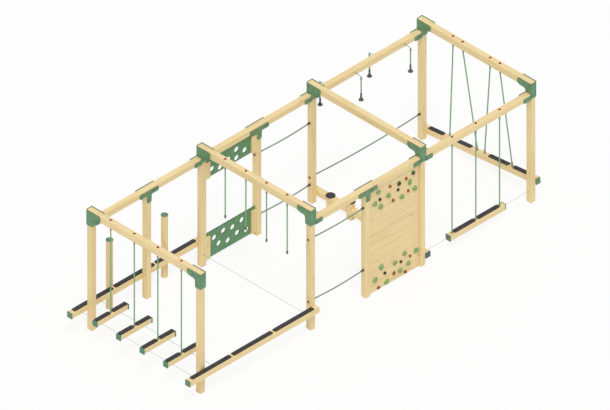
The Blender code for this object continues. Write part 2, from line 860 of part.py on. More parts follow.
# Hand grips hang from hooks screwed into the sides of the long beam, by turns at the back and at the front
HOOK_LEVEL = LONG_BOTTOM + HALF
GRIP_PIVOT = HOOK_LEVEL - HOOK_DIAMETER / 2 - CLEARANCE - KNUCKLE_RADIUS


def grip_place(number):
    side = 1 if number % 2 == 0 else -1
    x = STATION["c"] + GRIP_START + number * GRIP_PITCH
    return x, ROW["back"] + side * (HALF + HOOK_REACH), side


def grip_profile():
    """Half of the bell-shaped grip, from the top of its neck down: radius and height."""
    neck, rim = GRIP_NECK / 2, GRIP_DIAMETER / 2
    flare = rim - neck
    return [
        (neck, 0),
        (neck, -0.40 * GRIP_HEIGHT),
        (neck + 0.30 * flare, -0.66 * GRIP_HEIGHT),
        (rim, -0.86 * GRIP_HEIGHT),
        (neck + 0.85 * flare, -0.96 * GRIP_HEIGHT),
        (neck, -GRIP_HEIGHT),
    ]


def hand_grip(number):
    name = f"hand_grip_{number + 1}"
    x, y, _ = grip_place(number)
    at = (x, y, GRIP_PIVOT)
    bell = turned(f"{name}_bell", grip_profile(), (0, 0, -GRIP_DROP), GRIP_GREEN, at)
    main = rod(name, (0, 0, 0), (0, 0, -GRIP_DROP - BITE), ROPE_RADIUS, ROPE_GREEN, at)
    return unite(main, knuckle(f"{name}_knuckle", at), bell)


hooks = []
for number in range(GRIP_COUNT):
    hand_grip(number)
    x, y, side = grip_place(number)
    hooks.append(
        rod(
            f"hook_{number + 1}",
            (x, ROW["back"] + side * (HALF - BITE), HOOK_LEVEL),
            (x, y + side * HOOK_DIAMETER, HOOK_LEVEL),
            HOOK_DIAMETER / 2,
            BRACKET_GREEN,
        )
    )
unite(bpy.data.objects["long_beam_cd_back"], *hooks)


# Ropes held between two posts, with a ferrule at each end and a slight sag
def side_rope(name, start_x, end_x, row, height, sag):
    y = ROW[row]
    start, end = start_x + OUTSIDE, end_x - OUTSIDE
    points = []
    steps = 12
    for step in range(steps + 1):
        share = step / steps
        along = start + FERRULE_LENGTH / 2 + share * (end - start - FERRULE_LENGTH)
        points.append((along, y, height - 4 * sag * share * (1 - share)))
    main = tube(name, points, ROPE_DIAMETER, ROPE_GREEN)
    ferrules = [
        rod(f"{name}_ferrule_{side}", (x, y, height), (x - side * FERRULE_LENGTH, y, height), FERRULE_DIAMETER / 2, ROPE_GREEN)
        for side, x in ((-1, start), (1, end))
    ]
    return unite(main, *ferrules)


MID_BC = STATION["b"] + BAY / 2
side_rope("side_rope_bc_back_upper", MID_BC, STATION["c"], "back", BACK_UPPER_ROPE, SHORT_SAG)
side_rope("side_rope_bc_back_lower", MID_BC, STATION["c"], "back", BACK_LOWER_ROPE, SHORT_SAG)
side_rope("side_rope_cd_back", STATION["c"], STATION["d"], "back", LONG_BACK_ROPE, LONG_SAG)
side_rope("side_rope_bc_front_upper", STATION["b"], MID_BC, "front", FRONT_UPPER_ROPE, SHORT_SAG)
side_rope("side_rope_bc_front_lower", STATION["b"], MID_BC, "front", FRONT_LOWER_ROPE, SHORT_SAG)


# Ropes of station d, from the cross beam down to the inclined beam
def climb_rope(number):
    name = f"climb_rope_{number + 1}"
    top = Vector((STATION["d"], MIDDLE + CLIMB_ROPE_TOPS[number], CROSS_PIVOT))
    upright = Vector((0, math.sin(INCLINE_SLOPE), math.cos(INCLINE_SLOPE)))
    foot = on_incline(CLIMB_ROPE_FEET[number]) + upright * (KNUCKLE_RADIUS + CLEARANCE)
    main = rod(name, top, foot, ROPE_RADIUS, ROPE_GREEN)
    ends = [ball(f"{name}_knuckle_{word}", place, KNUCKLE_RADIUS, ROPE_GREEN) for word, place in (("top", top), ("foot", foot))]
    return unite(main, *ends)


for number in range(len(CLIMB_ROPE_FEET)):
    climb_rope(number)
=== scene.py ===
"""The look of a timber climbing frame for children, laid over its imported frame.

Metres, +Z up, +X along the frame, and the front faces -Y.
"""

import json
import math
import random

import bmesh
import bpy
from mathutils import Matrix, Vector, noise
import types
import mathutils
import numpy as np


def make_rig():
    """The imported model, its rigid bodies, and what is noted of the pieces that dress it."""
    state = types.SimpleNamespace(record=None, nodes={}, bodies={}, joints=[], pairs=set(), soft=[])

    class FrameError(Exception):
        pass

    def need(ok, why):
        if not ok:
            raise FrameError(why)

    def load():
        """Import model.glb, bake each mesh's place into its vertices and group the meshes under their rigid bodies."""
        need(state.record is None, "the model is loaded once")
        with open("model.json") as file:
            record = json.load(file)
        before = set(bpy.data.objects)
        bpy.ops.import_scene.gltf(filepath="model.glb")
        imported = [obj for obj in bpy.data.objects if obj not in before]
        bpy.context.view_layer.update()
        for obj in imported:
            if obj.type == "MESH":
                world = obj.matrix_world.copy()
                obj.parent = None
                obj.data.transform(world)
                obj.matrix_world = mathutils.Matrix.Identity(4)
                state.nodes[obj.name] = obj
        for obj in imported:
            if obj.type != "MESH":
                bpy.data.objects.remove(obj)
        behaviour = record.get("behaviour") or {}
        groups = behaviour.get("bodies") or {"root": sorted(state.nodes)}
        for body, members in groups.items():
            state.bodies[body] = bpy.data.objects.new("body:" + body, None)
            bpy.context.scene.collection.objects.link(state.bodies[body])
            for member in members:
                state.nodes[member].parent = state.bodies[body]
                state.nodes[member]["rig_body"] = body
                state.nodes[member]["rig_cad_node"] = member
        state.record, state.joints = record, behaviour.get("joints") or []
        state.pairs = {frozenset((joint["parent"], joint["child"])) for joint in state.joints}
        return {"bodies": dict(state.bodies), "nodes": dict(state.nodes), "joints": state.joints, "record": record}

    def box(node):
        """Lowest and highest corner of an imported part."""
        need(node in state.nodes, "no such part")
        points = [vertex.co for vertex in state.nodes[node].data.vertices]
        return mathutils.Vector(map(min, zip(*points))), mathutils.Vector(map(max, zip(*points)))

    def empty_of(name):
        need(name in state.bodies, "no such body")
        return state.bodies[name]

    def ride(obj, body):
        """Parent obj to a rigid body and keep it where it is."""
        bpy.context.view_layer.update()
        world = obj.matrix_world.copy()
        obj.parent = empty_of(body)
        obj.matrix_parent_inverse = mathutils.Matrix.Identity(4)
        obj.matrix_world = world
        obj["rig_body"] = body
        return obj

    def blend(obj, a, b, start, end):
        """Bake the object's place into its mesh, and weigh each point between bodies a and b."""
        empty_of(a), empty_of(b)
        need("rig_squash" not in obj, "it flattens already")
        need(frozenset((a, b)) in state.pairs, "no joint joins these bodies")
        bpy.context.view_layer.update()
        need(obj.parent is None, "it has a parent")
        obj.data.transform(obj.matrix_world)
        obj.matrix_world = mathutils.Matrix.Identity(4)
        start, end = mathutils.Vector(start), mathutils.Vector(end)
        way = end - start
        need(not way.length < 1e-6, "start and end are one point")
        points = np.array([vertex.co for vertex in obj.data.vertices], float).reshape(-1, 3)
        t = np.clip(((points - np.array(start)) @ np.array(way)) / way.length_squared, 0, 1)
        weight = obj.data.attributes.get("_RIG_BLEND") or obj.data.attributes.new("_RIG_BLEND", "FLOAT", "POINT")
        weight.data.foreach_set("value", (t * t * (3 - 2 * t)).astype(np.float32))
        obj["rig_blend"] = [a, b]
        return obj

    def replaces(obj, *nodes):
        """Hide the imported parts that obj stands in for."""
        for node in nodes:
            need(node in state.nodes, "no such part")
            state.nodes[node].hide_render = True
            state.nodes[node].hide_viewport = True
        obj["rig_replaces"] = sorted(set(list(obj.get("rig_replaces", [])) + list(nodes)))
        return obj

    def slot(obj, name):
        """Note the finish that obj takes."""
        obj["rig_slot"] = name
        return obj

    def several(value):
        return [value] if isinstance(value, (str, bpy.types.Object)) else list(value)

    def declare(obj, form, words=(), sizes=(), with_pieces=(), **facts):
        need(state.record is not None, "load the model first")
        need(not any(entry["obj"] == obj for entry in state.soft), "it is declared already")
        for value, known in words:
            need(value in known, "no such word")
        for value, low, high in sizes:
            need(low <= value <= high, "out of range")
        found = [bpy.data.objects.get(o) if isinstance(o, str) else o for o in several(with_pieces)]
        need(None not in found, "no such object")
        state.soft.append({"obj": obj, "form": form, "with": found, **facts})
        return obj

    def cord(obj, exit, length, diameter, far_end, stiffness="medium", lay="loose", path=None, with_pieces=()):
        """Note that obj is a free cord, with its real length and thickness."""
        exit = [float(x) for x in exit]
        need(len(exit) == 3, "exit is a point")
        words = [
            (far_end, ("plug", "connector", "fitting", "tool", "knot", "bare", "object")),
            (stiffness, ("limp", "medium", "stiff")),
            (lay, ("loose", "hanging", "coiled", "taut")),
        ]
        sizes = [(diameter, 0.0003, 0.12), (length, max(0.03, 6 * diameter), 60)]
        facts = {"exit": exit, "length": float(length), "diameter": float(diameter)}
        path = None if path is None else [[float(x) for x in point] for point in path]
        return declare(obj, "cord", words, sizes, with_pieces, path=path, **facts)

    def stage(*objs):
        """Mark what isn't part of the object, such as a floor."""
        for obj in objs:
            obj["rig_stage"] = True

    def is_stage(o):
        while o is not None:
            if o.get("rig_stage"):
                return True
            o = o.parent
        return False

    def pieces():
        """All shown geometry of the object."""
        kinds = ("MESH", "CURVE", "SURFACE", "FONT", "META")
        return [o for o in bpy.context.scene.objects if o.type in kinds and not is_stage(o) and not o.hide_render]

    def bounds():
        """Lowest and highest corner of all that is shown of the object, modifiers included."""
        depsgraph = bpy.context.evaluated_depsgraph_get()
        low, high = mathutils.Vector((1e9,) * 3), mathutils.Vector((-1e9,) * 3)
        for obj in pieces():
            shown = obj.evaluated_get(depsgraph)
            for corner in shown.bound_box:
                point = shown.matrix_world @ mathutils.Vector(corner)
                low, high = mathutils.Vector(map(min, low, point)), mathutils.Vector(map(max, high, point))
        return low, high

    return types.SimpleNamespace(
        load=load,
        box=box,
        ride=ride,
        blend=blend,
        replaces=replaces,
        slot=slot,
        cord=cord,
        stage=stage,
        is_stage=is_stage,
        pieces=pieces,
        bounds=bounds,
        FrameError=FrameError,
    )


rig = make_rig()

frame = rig.load()
cad_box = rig.bounds()


# The posts: squared pine of 100 mm, planed on four sides with eased edges, clear treated.
# Eight corner posts carry the cross beams, and three mid-bay posts carry the long beams. All stand on the ground.
POST_EDGE = 0.005
PINE_PALE, PINE_TAN = (0.862, 0.690, 0.360), (0.750, 0.560, 0.268)
PINE_PINK, PINE_KNOT = (0.850, 0.605, 0.340), (0.500, 0.300, 0.140)
GRAIN_STRETCH, FLAME_STRETCH, KNOT_STRETCH = (1.1, 15.0, 15.0), (0.55, 1.0, 1.0), (2.1, 8.0, 8.0)


def node(tree, kind, sockets=None, **settings):
    """One shader node, with its settings, and with values or links for its sockets."""
    made = tree.nodes.new("ShaderNode" + kind)
    for name, value in settings.items():
        setattr(made, name, value)
    for name, value in (sockets or {}).items():
        if isinstance(value, bpy.types.NodeSocket):
            tree.links.new(value, made.inputs[name])
        else:
            made.inputs[name].default_value = value
    return made


def ramp(tree, factor, stops):
    """A smooth change of colour or value through stops of (place, colour)."""
    made = node(tree, "ValToRGB", {"Fac": factor})
    elements = made.color_ramp.elements
    while len(elements) < len(stops):
        elements.new(0.5)
    for element, (place, colour) in zip(elements, stops):
        element.position = place
        element.color = (*colour, 1) if isinstance(colour, tuple) else (colour, colour, colour, 1)
    return made.outputs["Color"]


def overlaid(tree, base, over, factor, stops):
    """One colour laid over another, as far as a ramp of a factor says."""
    made = node(tree, "Mix", data_type="RGBA")
    for number, value in ((0, ramp(tree, factor, stops)), (6, base), (7, over)):
        if isinstance(value, tuple):
            made.inputs[number].default_value = (*value, 1)
        else:
            tree.links.new(value, made.inputs[number])
    return made.outputs[2]


def clouds(tree, place, scale, detail=2.0, roughness=0.5):
    """Cloudy noise over a surface."""
    made = node(tree, "TexNoise", {"Vector": place, "Scale": scale, "Detail": detail, "Roughness": roughness})
    return made.outputs["Fac"]


def maths(tree, kind, operation, *values):
    """The result of one step of reckoning, on numbers (Math) or on vectors (VectorMath)."""
    return node(tree, kind, dict(enumerate(values)), operation=operation).outputs[0]


def finish_named(name, metallic=0.0):
    """A new finish: its material, its node tree, and the coordinates of the piece that wears it."""
    made = bpy.data.materials.new(name)
    made.use_nodes = True
    made.node_tree.nodes["Principled BSDF"].inputs["Metallic"].default_value = metallic
    return made, made.node_tree, node(made.node_tree, "TexCoord").outputs


def dressed(finish, colour, factor, roughness, depth=0.0, height=None):
    """The finish with its colour, with a roughness that follows a factor, and with a fine relief of this depth."""
    tree = finish.node_tree
    sockets = tree.nodes["Principled BSDF"].inputs
    tree.links.new(colour, sockets["Base Color"])
    tree.links.new(ramp(tree, factor, roughness), sockets["Roughness"])
    if depth:
        bump = node(tree, "Bump", {"Strength": 1.0, "Distance": depth, "Height": height or factor})
        tree.links.new(bump.outputs["Normal"], sockets["Normal"])
    return finish


def pine(name):
    """Planed pine whose grain runs along the piece's own X: streaks, flame figure, knots and ringed ends."""
    finish, tree, coords = finish_named(name)
    chance = node(tree, "ObjectInfo").outputs["Random"]
    cut_from = node(tree, "VectorMath", {0: (41.0, 13.0, 7.0), "Scale": chance}, operation="SCALE").outputs[0]
    place = maths(tree, "VectorMath", "ADD", coords["Object"], cut_from)
    along = maths(tree, "VectorMath", "MULTIPLY", place, GRAIN_STRETCH)
    flame_place = maths(tree, "VectorMath", "MULTIPLY", place, FLAME_STRETCH)
    knot_place = maths(tree, "VectorMath", "MULTIPLY", place, KNOT_STRETCH)
    streak = clouds(tree, along, 1.0, 6.0, 0.6)
    fine = clouds(tree, along, 7.0, 4.0, 0.7)
    broad = clouds(tree, place, 2.6)
    waves = {"Vector": flame_place, "Scale": 13.0, "Distortion": 5.0, "Detail": 3.0, "Detail Scale": 1.4}
    flame = node(tree, "TexWave", waves, bands_direction="Z").outputs["Fac"]
    knots = node(tree, "TexVoronoi", {"Vector": knot_place, "Scale": 1.0, "Randomness": 1.0}).outputs["Distance"]
    wood = ramp(tree, streak, [(0.30, PINE_TAN), (0.50, PINE_PALE), (0.74, PINE_PALE)])
    wood = overlaid(tree, wood, PINE_PINK, broad, [(0.52, 0.0), (0.70, 0.55)])
    wood = overlaid(tree, wood, PINE_TAN, flame, [(0.15, 0.18), (0.60, 0.0)])
    wood = overlaid(tree, wood, PINE_TAN, fine, [(0.42, 0.15), (0.56, 0.0)])
    wood = overlaid(tree, wood, PINE_KNOT, knots, [(0.045, 0.60), (0.075, 0.24), (0.14, 0.0)])
    rounds = {"Vector": place, "Scale": 42.0, "Distortion": 1.5, "Detail": 2.0}
    rings = node(tree, "TexWave", rounds, wave_type="RINGS", rings_direction="X").outputs["Fac"]
    end_wood = ramp(tree, rings, [(0.2, PINE_TAN), (0.8, PINE_PALE)])
    lengthwise = node(tree, "SeparateXYZ", {0: coords["Normal"]}).outputs["X"]
    at_end = maths(tree, "Math", "ABSOLUTE", lengthwise)
    wood = overlaid(tree, wood, end_wood, at_end, [(0.80, 0.0), (0.92, 0.8)])
    return dressed(finish, wood, fine, [(0.3, 0.50), (0.7, 0.68)], 0.0012)


PLANED_PINE = pine("planed_pine_clear")


def block(low, high, edge, segments=3):
    """A cuboid with rounded edges."""
    low, high = Vector(low), Vector(high)
    shape = bmesh.new()
    bmesh.ops.create_cube(shape, size=1)
    bmesh.ops.scale(shape, vec=high - low, verts=shape.verts)
    bmesh.ops.translate(shape, vec=(low + high) / 2, verts=shape.verts)
    bmesh.ops.bevel(shape, geom=shape.edges[:], offset=edge, segments=segments, profile=0.5, affect="EDGES")
    return shape


def placed(name, data):
    """A new object in the scene, with this mesh, light or camera."""
    made = bpy.data.objects.new(name, data)
    bpy.context.scene.collection.objects.link(made)
    return made


def shaped(name, shape, surface=None):
    """An object with this shape and finish."""
    mesh = bpy.data.meshes.new(name)
    bmesh.ops.recalc_face_normals(shape, faces=shape.faces)
    shape.to_mesh(mesh)
    shape.free()
    mesh.shade_smooth()
    if surface:
        mesh.materials.append(surface)
    return placed(name, mesh)


def piece(name, shape, surface, body, place=None, slot=None, nodes=(), smooth=40):
    """A finished piece of the frame: its mesh and finish, and the body it rides on."""
    made = shaped(name, shape, surface)
    made.data.set_sharp_from_angle(angle=math.radians(smooth))
    made.modifiers.new("even_shading", "WEIGHTED_NORMAL").keep_sharp = True
    if place is not None:
        made.matrix_world = place
    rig.ride(made, body)
    if slot:
        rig.slot(made, slot)
    if nodes:
        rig.replaces(made, *nodes)
    return made


def along_axis(axis, centre):
    """Lays a piece's own X along an axis of the frame: 0, 1 or 2."""
    turn = Matrix([[1.0 if row == (axis + column) % 3 else 0.0 for column in range(3)] for row in range(3)])
    return Matrix.Translation(centre) @ turn.to_4x4()


def squared_timber(name, low, high, axis, body="frame", edge=POST_EDGE, nodes=()):
    """A squared timber between two corners, with its grain along the axis."""
    size = Vector(high) - Vector(low)
    half = Vector([size[(axis + step) % 3] / 2 for step in range(3)])
    place = along_axis(axis, (Vector(low) + Vector(high)) / 2)
    return piece(name, block(-half, half, edge), PLANED_PINE, body, place, "planed_pine", nodes)


for cad_node in sorted(frame["nodes"]):
    if cad_node.startswith("post_"):
        squared_timber(f"timber_{cad_node}", *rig.box(cad_node), 2, nodes=[cad_node])


# The raised beams: squared pine again. Four cross beams lie on the corner posts, and five long beams hang a little
# lower between them. Each is one length, sawn square and eased, and fixed by the brackets.
for cad_node in sorted(frame["nodes"]):
    if cad_node.startswith("cross_beam_"):
        squared_timber(f"timber_{cad_node}", *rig.box(cad_node), 1, nodes=[cad_node])

HALF = 0.050
ROW = {row: sum(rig.box(f"post_a_{row}"), Vector()).y / 2 for row in ("front", "back")}
LONG_LOW, LONG_HIGH = [corner.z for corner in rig.box("long_beam_ab_back")]
LONG_BEAMS = ["ab_back", "bc_back", "cd_back", "bc_front", "cd_front"]
for bay in LONG_BEAMS:
    name, row = f"long_beam_{bay}", ROW[bay[3:]]
    low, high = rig.box(name)
    ends = (low.x, row - HALF, LONG_LOW), (high.x, row + HALF, LONG_HIGH)
    squared_timber(f"timber_{name}", *ends, 0, nodes=[name])


# Corner brackets: 10 mm steel plate, cut, bent and powder coated green. Two cheeks straddle the cross beam and the
# post, a plate closes the outside, a bent soffit the inside, and arms hold the long beams. Coach bolts go through.
PLATE, PLATE_EDGE, PLATE_WRAP = 0.010, 0.0025, 0.002
CHEEK_DROP, CHEEK_RISE = 0.010, 0.008
CHEEK_REACH, CHEEK_TURN, CHEEK_ROUND, CHEEK_FILLET, CHEEK_CORNER = 0.190, 0.090, 0.050, 0.045, 0.025
SOFFIT_REACH, CHEEK_LEG = 0.100, 0.092
ARM_REACH, ARM_HEIGHT, ARM_NICK, SEAT_DROP = 0.160, 0.080, 0.012, 0.014
CHEEK_BOLTS, ARM_BOLTS = (-0.195, -0.095, 0.0), (0.085, 0.165)
CHEEK_BOLT_LEVEL, END_BOLT_LEVEL, ARM_BOLT_RISE, LEG_BOLT_RISE, END_LEG_BOLT_RISE = 2.196, 2.205, 0.030, 0.040, 0.045
# The last of these greens is painted shade, laid on the plates' rims and on their faces that look upward.
BRACKET_GREEN, BRACKET_SHADE, BRACKET_PAINTED_SHADE = (0.128, 0.290, 0.142), (0.092, 0.222, 0.102), (0.040, 0.080, 0.045)
STATION = {letter: sum(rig.box(f"post_{letter}_front"), Vector()).x / 2 for letter in "abcd"}
OUTWARD = {"front": -1, "back": 1}
GAP = 0.0003
SHEATHED = HALF + GAP + PLATE
PLATE_MIDDLE = HALF + GAP + PLATE / 2
CROSS_LOW, CROSS_HIGH = [corner.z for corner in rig.box("cross_beam_a")]
LEG_LOW = LONG_HIGH - CHEEK_LEG
SEAT_LOW = LONG_LOW - SEAT_DROP


def powder_coat(name, colour, shade, edge, roughness):
    """Powder coat: a slight orange peel, faint clouding, and painted shade along a plate's rounded and upper edges."""
    finish, tree, coords = finish_named(name)
    cloud = clouds(tree, coords["Object"], 9.0, 4.0)
    peel = clouds(tree, coords["Object"], 420.0)
    upward = node(tree, "SeparateXYZ", {0: coords["Normal"]}).outputs["Z"]
    ways = node(tree, "SeparateXYZ", {0: maths(tree, "VectorMath", "ABSOLUTE", coords["Normal"])}).outputs
    squarest = maths(tree, "Math", "MAXIMUM", ways["X"], ways["Y"])
    squarest = maths(tree, "Math", "MAXIMUM", squarest, ways["Z"])
    coat = ramp(tree, cloud, [(0.3, shade), (0.62, colour)])
    # Painted shade: faces that don't look straight along an axis, the rounded rims, take the dark colour.
    coat = overlaid(tree, coat, edge, squarest, [(0.88, 0.65), (0.985, 0.0)])
    # Painted shade again: faces that look upward, such as the top of a plate, take the dark colour too.
    coat = overlaid(tree, coat, edge, upward, [(0.80, 0.0), (0.95, 0.85)])
    return dressed(finish, coat, cloud, [(0.3, roughness + 0.1), (0.7, roughness)], 0.0003, peel)


GREEN_COAT = powder_coat("green_powder_coat", BRACKET_GREEN, BRACKET_SHADE, BRACKET_PAINTED_SHADE, 0.38)
# The bolt heads take the shade tone as painted shade on their rounded rims and upward faces.
BOLT_COAT = powder_coat("green_bolt_coat", BRACKET_GREEN, BRACKET_SHADE, BRACKET_SHADE, 0.38)


def sheet_metal(outline, thickness, edge=PLATE_EDGE, segments=2):
    """A flat plate with this outline in X and Y, and its thickness in Z."""
    shape = bmesh.new()
    faces = [[shape.verts.new((x, y, side * thickness / 2)) for x, y in outline] for side in (-1, 1)]
    shape.faces.new(reversed(faces[0]))
    shape.faces.new(faces[1])
    count = len(outline)
    for number in range(count):
        after = (number + 1) % count
        shape.faces.new((faces[0][number], faces[0][after], faces[1][after], faces[1][number]))
    bmesh.ops.recalc_face_normals(shape, faces=shape.faces)
    rims = [e for e in shape.edges if abs(e.verts[0].co.z - e.verts[1].co.z) < thickness / 2]
    bmesh.ops.bevel(shape, geom=rims, offset=edge, segments=segments, profile=0.5, affect="EDGES")
    return shape


def full_turn(steps):
    return [2 * math.pi * step / steps for step in range(steps)]


def quarter_turns(steps=8):
    return [math.radians(90) * step / steps for step in range(steps + 1)]


def lathe(profile, sides=16):
    """A turned shape about Z, from (radius, height) points. It closes on the axis where a radius is nothing."""
    shape = bmesh.new()
    rings = []
    for radius, height in profile:
        turns = full_turn(sides) if radius > 1e-6 else [0.0]
        rings.append([shape.verts.new((radius * math.cos(t), radius * math.sin(t), height)) for t in turns])
    for upper, lower in zip(rings, rings[1:]):
        for step in range(sides):
            corners = [(upper, step), (lower, step), (lower, step + 1), (upper, step + 1)]
            shape.faces.new(dict.fromkeys(ring[place % len(ring)] for ring, place in corners))
    for ring in (rings[0], rings[-1]):
        if len(ring) > 1:
            shape.faces.new(ring)
    return shape


def facing(direction, place):
    """Turns a shape's own Z to this direction and sets it there."""
    turn = Vector(direction).to_track_quat("Z", "Y").to_matrix().to_4x4()
    return Matrix.Translation(place) @ turn


def upright(x, y):
    """Stands a plate on edge across the row, with its own X along the frame and its own Y upwards."""
    return Matrix(((1, 0, 0, x), (0, 0, 1, y), (0, 1, 0, 0), (0, 0, 0, 1)))


BOLT_RADIUS, BOLT_HEIGHT, WASHER_RADIUS, WASHER_HEIGHT, WASHER_EDGE = 0.0110, 0.0060, 0.0160, 0.0022, 0.0008


def dome(radius, height, foot=0.0):
    """Half of a dome's outline, from its top to its rim, for a lathe."""
    return [(radius * math.sin(turn), foot + height * math.cos(turn)) for turn in quarter_turns(6)]


def coach_bolt(way, place, size=1.0):
    """A domed bolt head on its washer, standing on a face."""
    inner = WASHER_RADIUS - WASHER_EDGE
    washer = [(inner, WASHER_HEIGHT), (WASHER_RADIUS, WASHER_HEIGHT - WASHER_EDGE), (WASHER_RADIUS, -0.001)]
    profile = dome(BOLT_RADIUS, BOLT_HEIGHT, WASHER_HEIGHT) + washer
    return lathe([(size * radius, size * height) for radius, height in profile]), facing(way, place)


def cheek_outline(top):
    """A cheek from its side, its outer edge at positive values: an arm along the beam and a leg down the post."""
    inner, leg, under = HALF + CHEEK_REACH, SHEATHED + PLATE_WRAP, CROSS_LOW - GAP - PLATE - PLATE_WRAP
    edge = [(SHEATHED, LEG_LOW), (SHEATHED, top), (CHEEK_CORNER - inner, top), (-inner, top - CHEEK_CORNER)]
    for turn in quarter_turns():
        edge.append((-inner + CHEEK_TURN * (1 - math.cos(turn)), under + CHEEK_ROUND * (1 - math.sin(turn))))
    for turn in quarter_turns():
        edge.append((-leg - CHEEK_FILLET * (1 - math.sin(turn)), under - CHEEK_FILLET * (1 - math.cos(turn))))
    return edge + [(-leg, LEG_LOW)]


def soffit_outline():
    """The bent plate inside the corner, under the beam and down the post."""
    seat, foot, bend = CROSS_LOW - GAP, LEG_LOW + PLATE_WRAP, CHEEK_FILLET + PLATE_WRAP
    across, up = -SHEATHED - bend, seat - PLATE - bend
    arc = [(across + bend * math.sin(turn), up + bend * math.cos(turn)) for turn in quarter_turns()]
    end, face = -HALF - SOFFIT_REACH, -HALF - GAP
    return [(end, seat - PLATE), (end, seat), (face, seat), (face, foot), (-SHEATHED, foot), *arc[::-1]]


def gathered(parts):
    """Several shapes as one, each (shape, where it goes)."""
    whole = bmesh.new()
    for part, place in parts:
        if place is not None:
            part.transform(place)
        mesh = bpy.data.meshes.new("part")
        part.to_mesh(mesh)
        part.free()
        whole.from_mesh(mesh)
        bpy.data.meshes.remove(mesh)
    return whole


def green_bracket(name, parts, bolts):
    """A bracket's plates and its bolt heads, as two pieces."""
    piece(f"bolts_{name}", gathered(bolts), BOLT_COAT, "frame", slot="bracket_green")
    piece(f"steel_{name}", gathered(parts), GREEN_COAT, "frame", slot="bracket_green", nodes=[name])


def corner_bracket(letter, row):
    x, y, outward = STATION[letter], ROW[row], OUTWARD[row]
    from_side = Matrix(((0, 0, 1, x), (outward, 0, 0, y), (0, 1, 0, 0), (0, 0, 0, 1)))
    bays = {-1: chr(ord(letter) - 1) + letter, 1: letter + chr(ord(letter) + 1)}
    armed = [side for side in bays if f"{bays[side]}_{row}" in LONG_BEAMS]
    parts, bolts = [], []
    for side, top in ((-1, CROSS_HIGH - CHEEK_DROP), (1, CROSS_HIGH + CHEEK_RISE)):
        beside = from_side @ Matrix.Translation((0, 0, side * PLATE_MIDDLE))
        parts.append((sheet_metal(cheek_outline(top), PLATE), beside))
        spots = [(across, CHEEK_BOLT_LEVEL) for across in CHEEK_BOLTS]
        if side not in armed:
            spots.append((0.0, LEG_LOW + LEG_BOLT_RISE))
        for across, up in spots:
            bolts.append(coach_bolt((side, 0, 0), (x + side * SHEATHED, y + outward * across, up)))
    parts.append((sheet_metal(soffit_outline(), 2 * (HALF + GAP + 0.001), 0.0008, 1), from_side))
    half, outer = HALF + GAP - 0.0002, SHEATHED - 0.0006
    near, far = sorted((y + outward * (HALF + GAP), y + outward * outer))
    top = CROSS_HIGH + (CHEEK_RISE if row == "back" else -CHEEK_DROP) - PLATE_WRAP
    parts.append((block((x - half, near, LEG_LOW - PLATE_WRAP), (x + half, far, top), PLATE_EDGE), None))
    for up in (END_BOLT_LEVEL, LEG_LOW + END_LEG_BOLT_RISE):
        bolts.append(coach_bolt((0, outward, 0), (x, y + outward * outer, up)))
    for side in armed:
        for face, top in ((-1, SEAT_LOW + ARM_HEIGHT), (1, LONG_HIGH + CHEEK_RISE)):
            near, far = HALF + GAP, HALF + ARM_REACH
            low, high = SEAT_LOW + ARM_NICK, top - ARM_NICK
            outline = [(near, SEAT_LOW), (far - ARM_NICK, SEAT_LOW), (far, low)]
            outline += [(far, high), (far - ARM_NICK, top), (near, top)]
            arm = sheet_metal([(side * across, up) for across, up in outline], PLATE)
            parts.append((arm, upright(x, y + face * PLATE_MIDDLE)))
            for reached in ARM_BOLTS:
                spot = (x + side * reached, y + face * SHEATHED, LONG_LOW + ARM_BOLT_RISE)
                bolts.append(coach_bolt((0, face, 0), spot))
    green_bracket(f"corner_bracket_{letter}_{row}", parts, bolts)


for letter in STATION:
    for row in ROW:
        corner_bracket(letter, row)


# Tee brackets: the same green plate where a mid-bay post meets a long beam. A seat lies between the post and the
# beam, and a tee-shaped plate goes down each face, bolted through the beam and the post.
TEE_REACH, TEE_LEG, TEE_NICK = 0.205, 0.150, 0.014
TEE_BOLTS = [(across, 0.030) for across in (-0.165, -0.070, 0.070, 0.165)] + [(0.0, -0.045), (0.0, -0.115)]
for bay, row in (("ab", "back"), ("bc", "back"), ("bc", "front")):
    x, y = STATION[bay[0]] / 2 + STATION[bay[1]] / 2, ROW[row]
    seat = block(
        (x - HALF + 0.001, y - PLATE_MIDDLE, LONG_LOW - GAP - PLATE),
        (x + HALF - 0.001, y + PLATE_MIDDLE, LONG_LOW - GAP),
        0.001,
    )
    parts, bolts = [(seat, None)], []
    for side, top in ((-1, SEAT_LOW + ARM_HEIGHT), (1, LONG_HIGH + CHEEK_RISE)):
        foot = LONG_LOW - TEE_LEG
        right = [(HALF - TEE_NICK, foot), (HALF, foot + TEE_NICK), (HALF, SEAT_LOW - TEE_NICK)]
        right += [(HALF + TEE_NICK, SEAT_LOW), (TEE_REACH - TEE_NICK, SEAT_LOW), (TEE_REACH, SEAT_LOW + TEE_NICK)]
        right += [(TEE_REACH, top - TEE_NICK), (TEE_REACH - TEE_NICK, top)]
        tee = sheet_metal(right + [(-across, up) for across, up in reversed(right)], PLATE)
        parts.append((tee, upright(x, y + side * PLATE_MIDDLE)))
        for across, up in TEE_BOLTS:
            bolts.append(coach_bolt((0, side, 0), (x + across, y + side * SHEATHED, LONG_LOW + up)))
    green_bracket(f"tee_bracket_{bay}_{row}", parts, bolts)


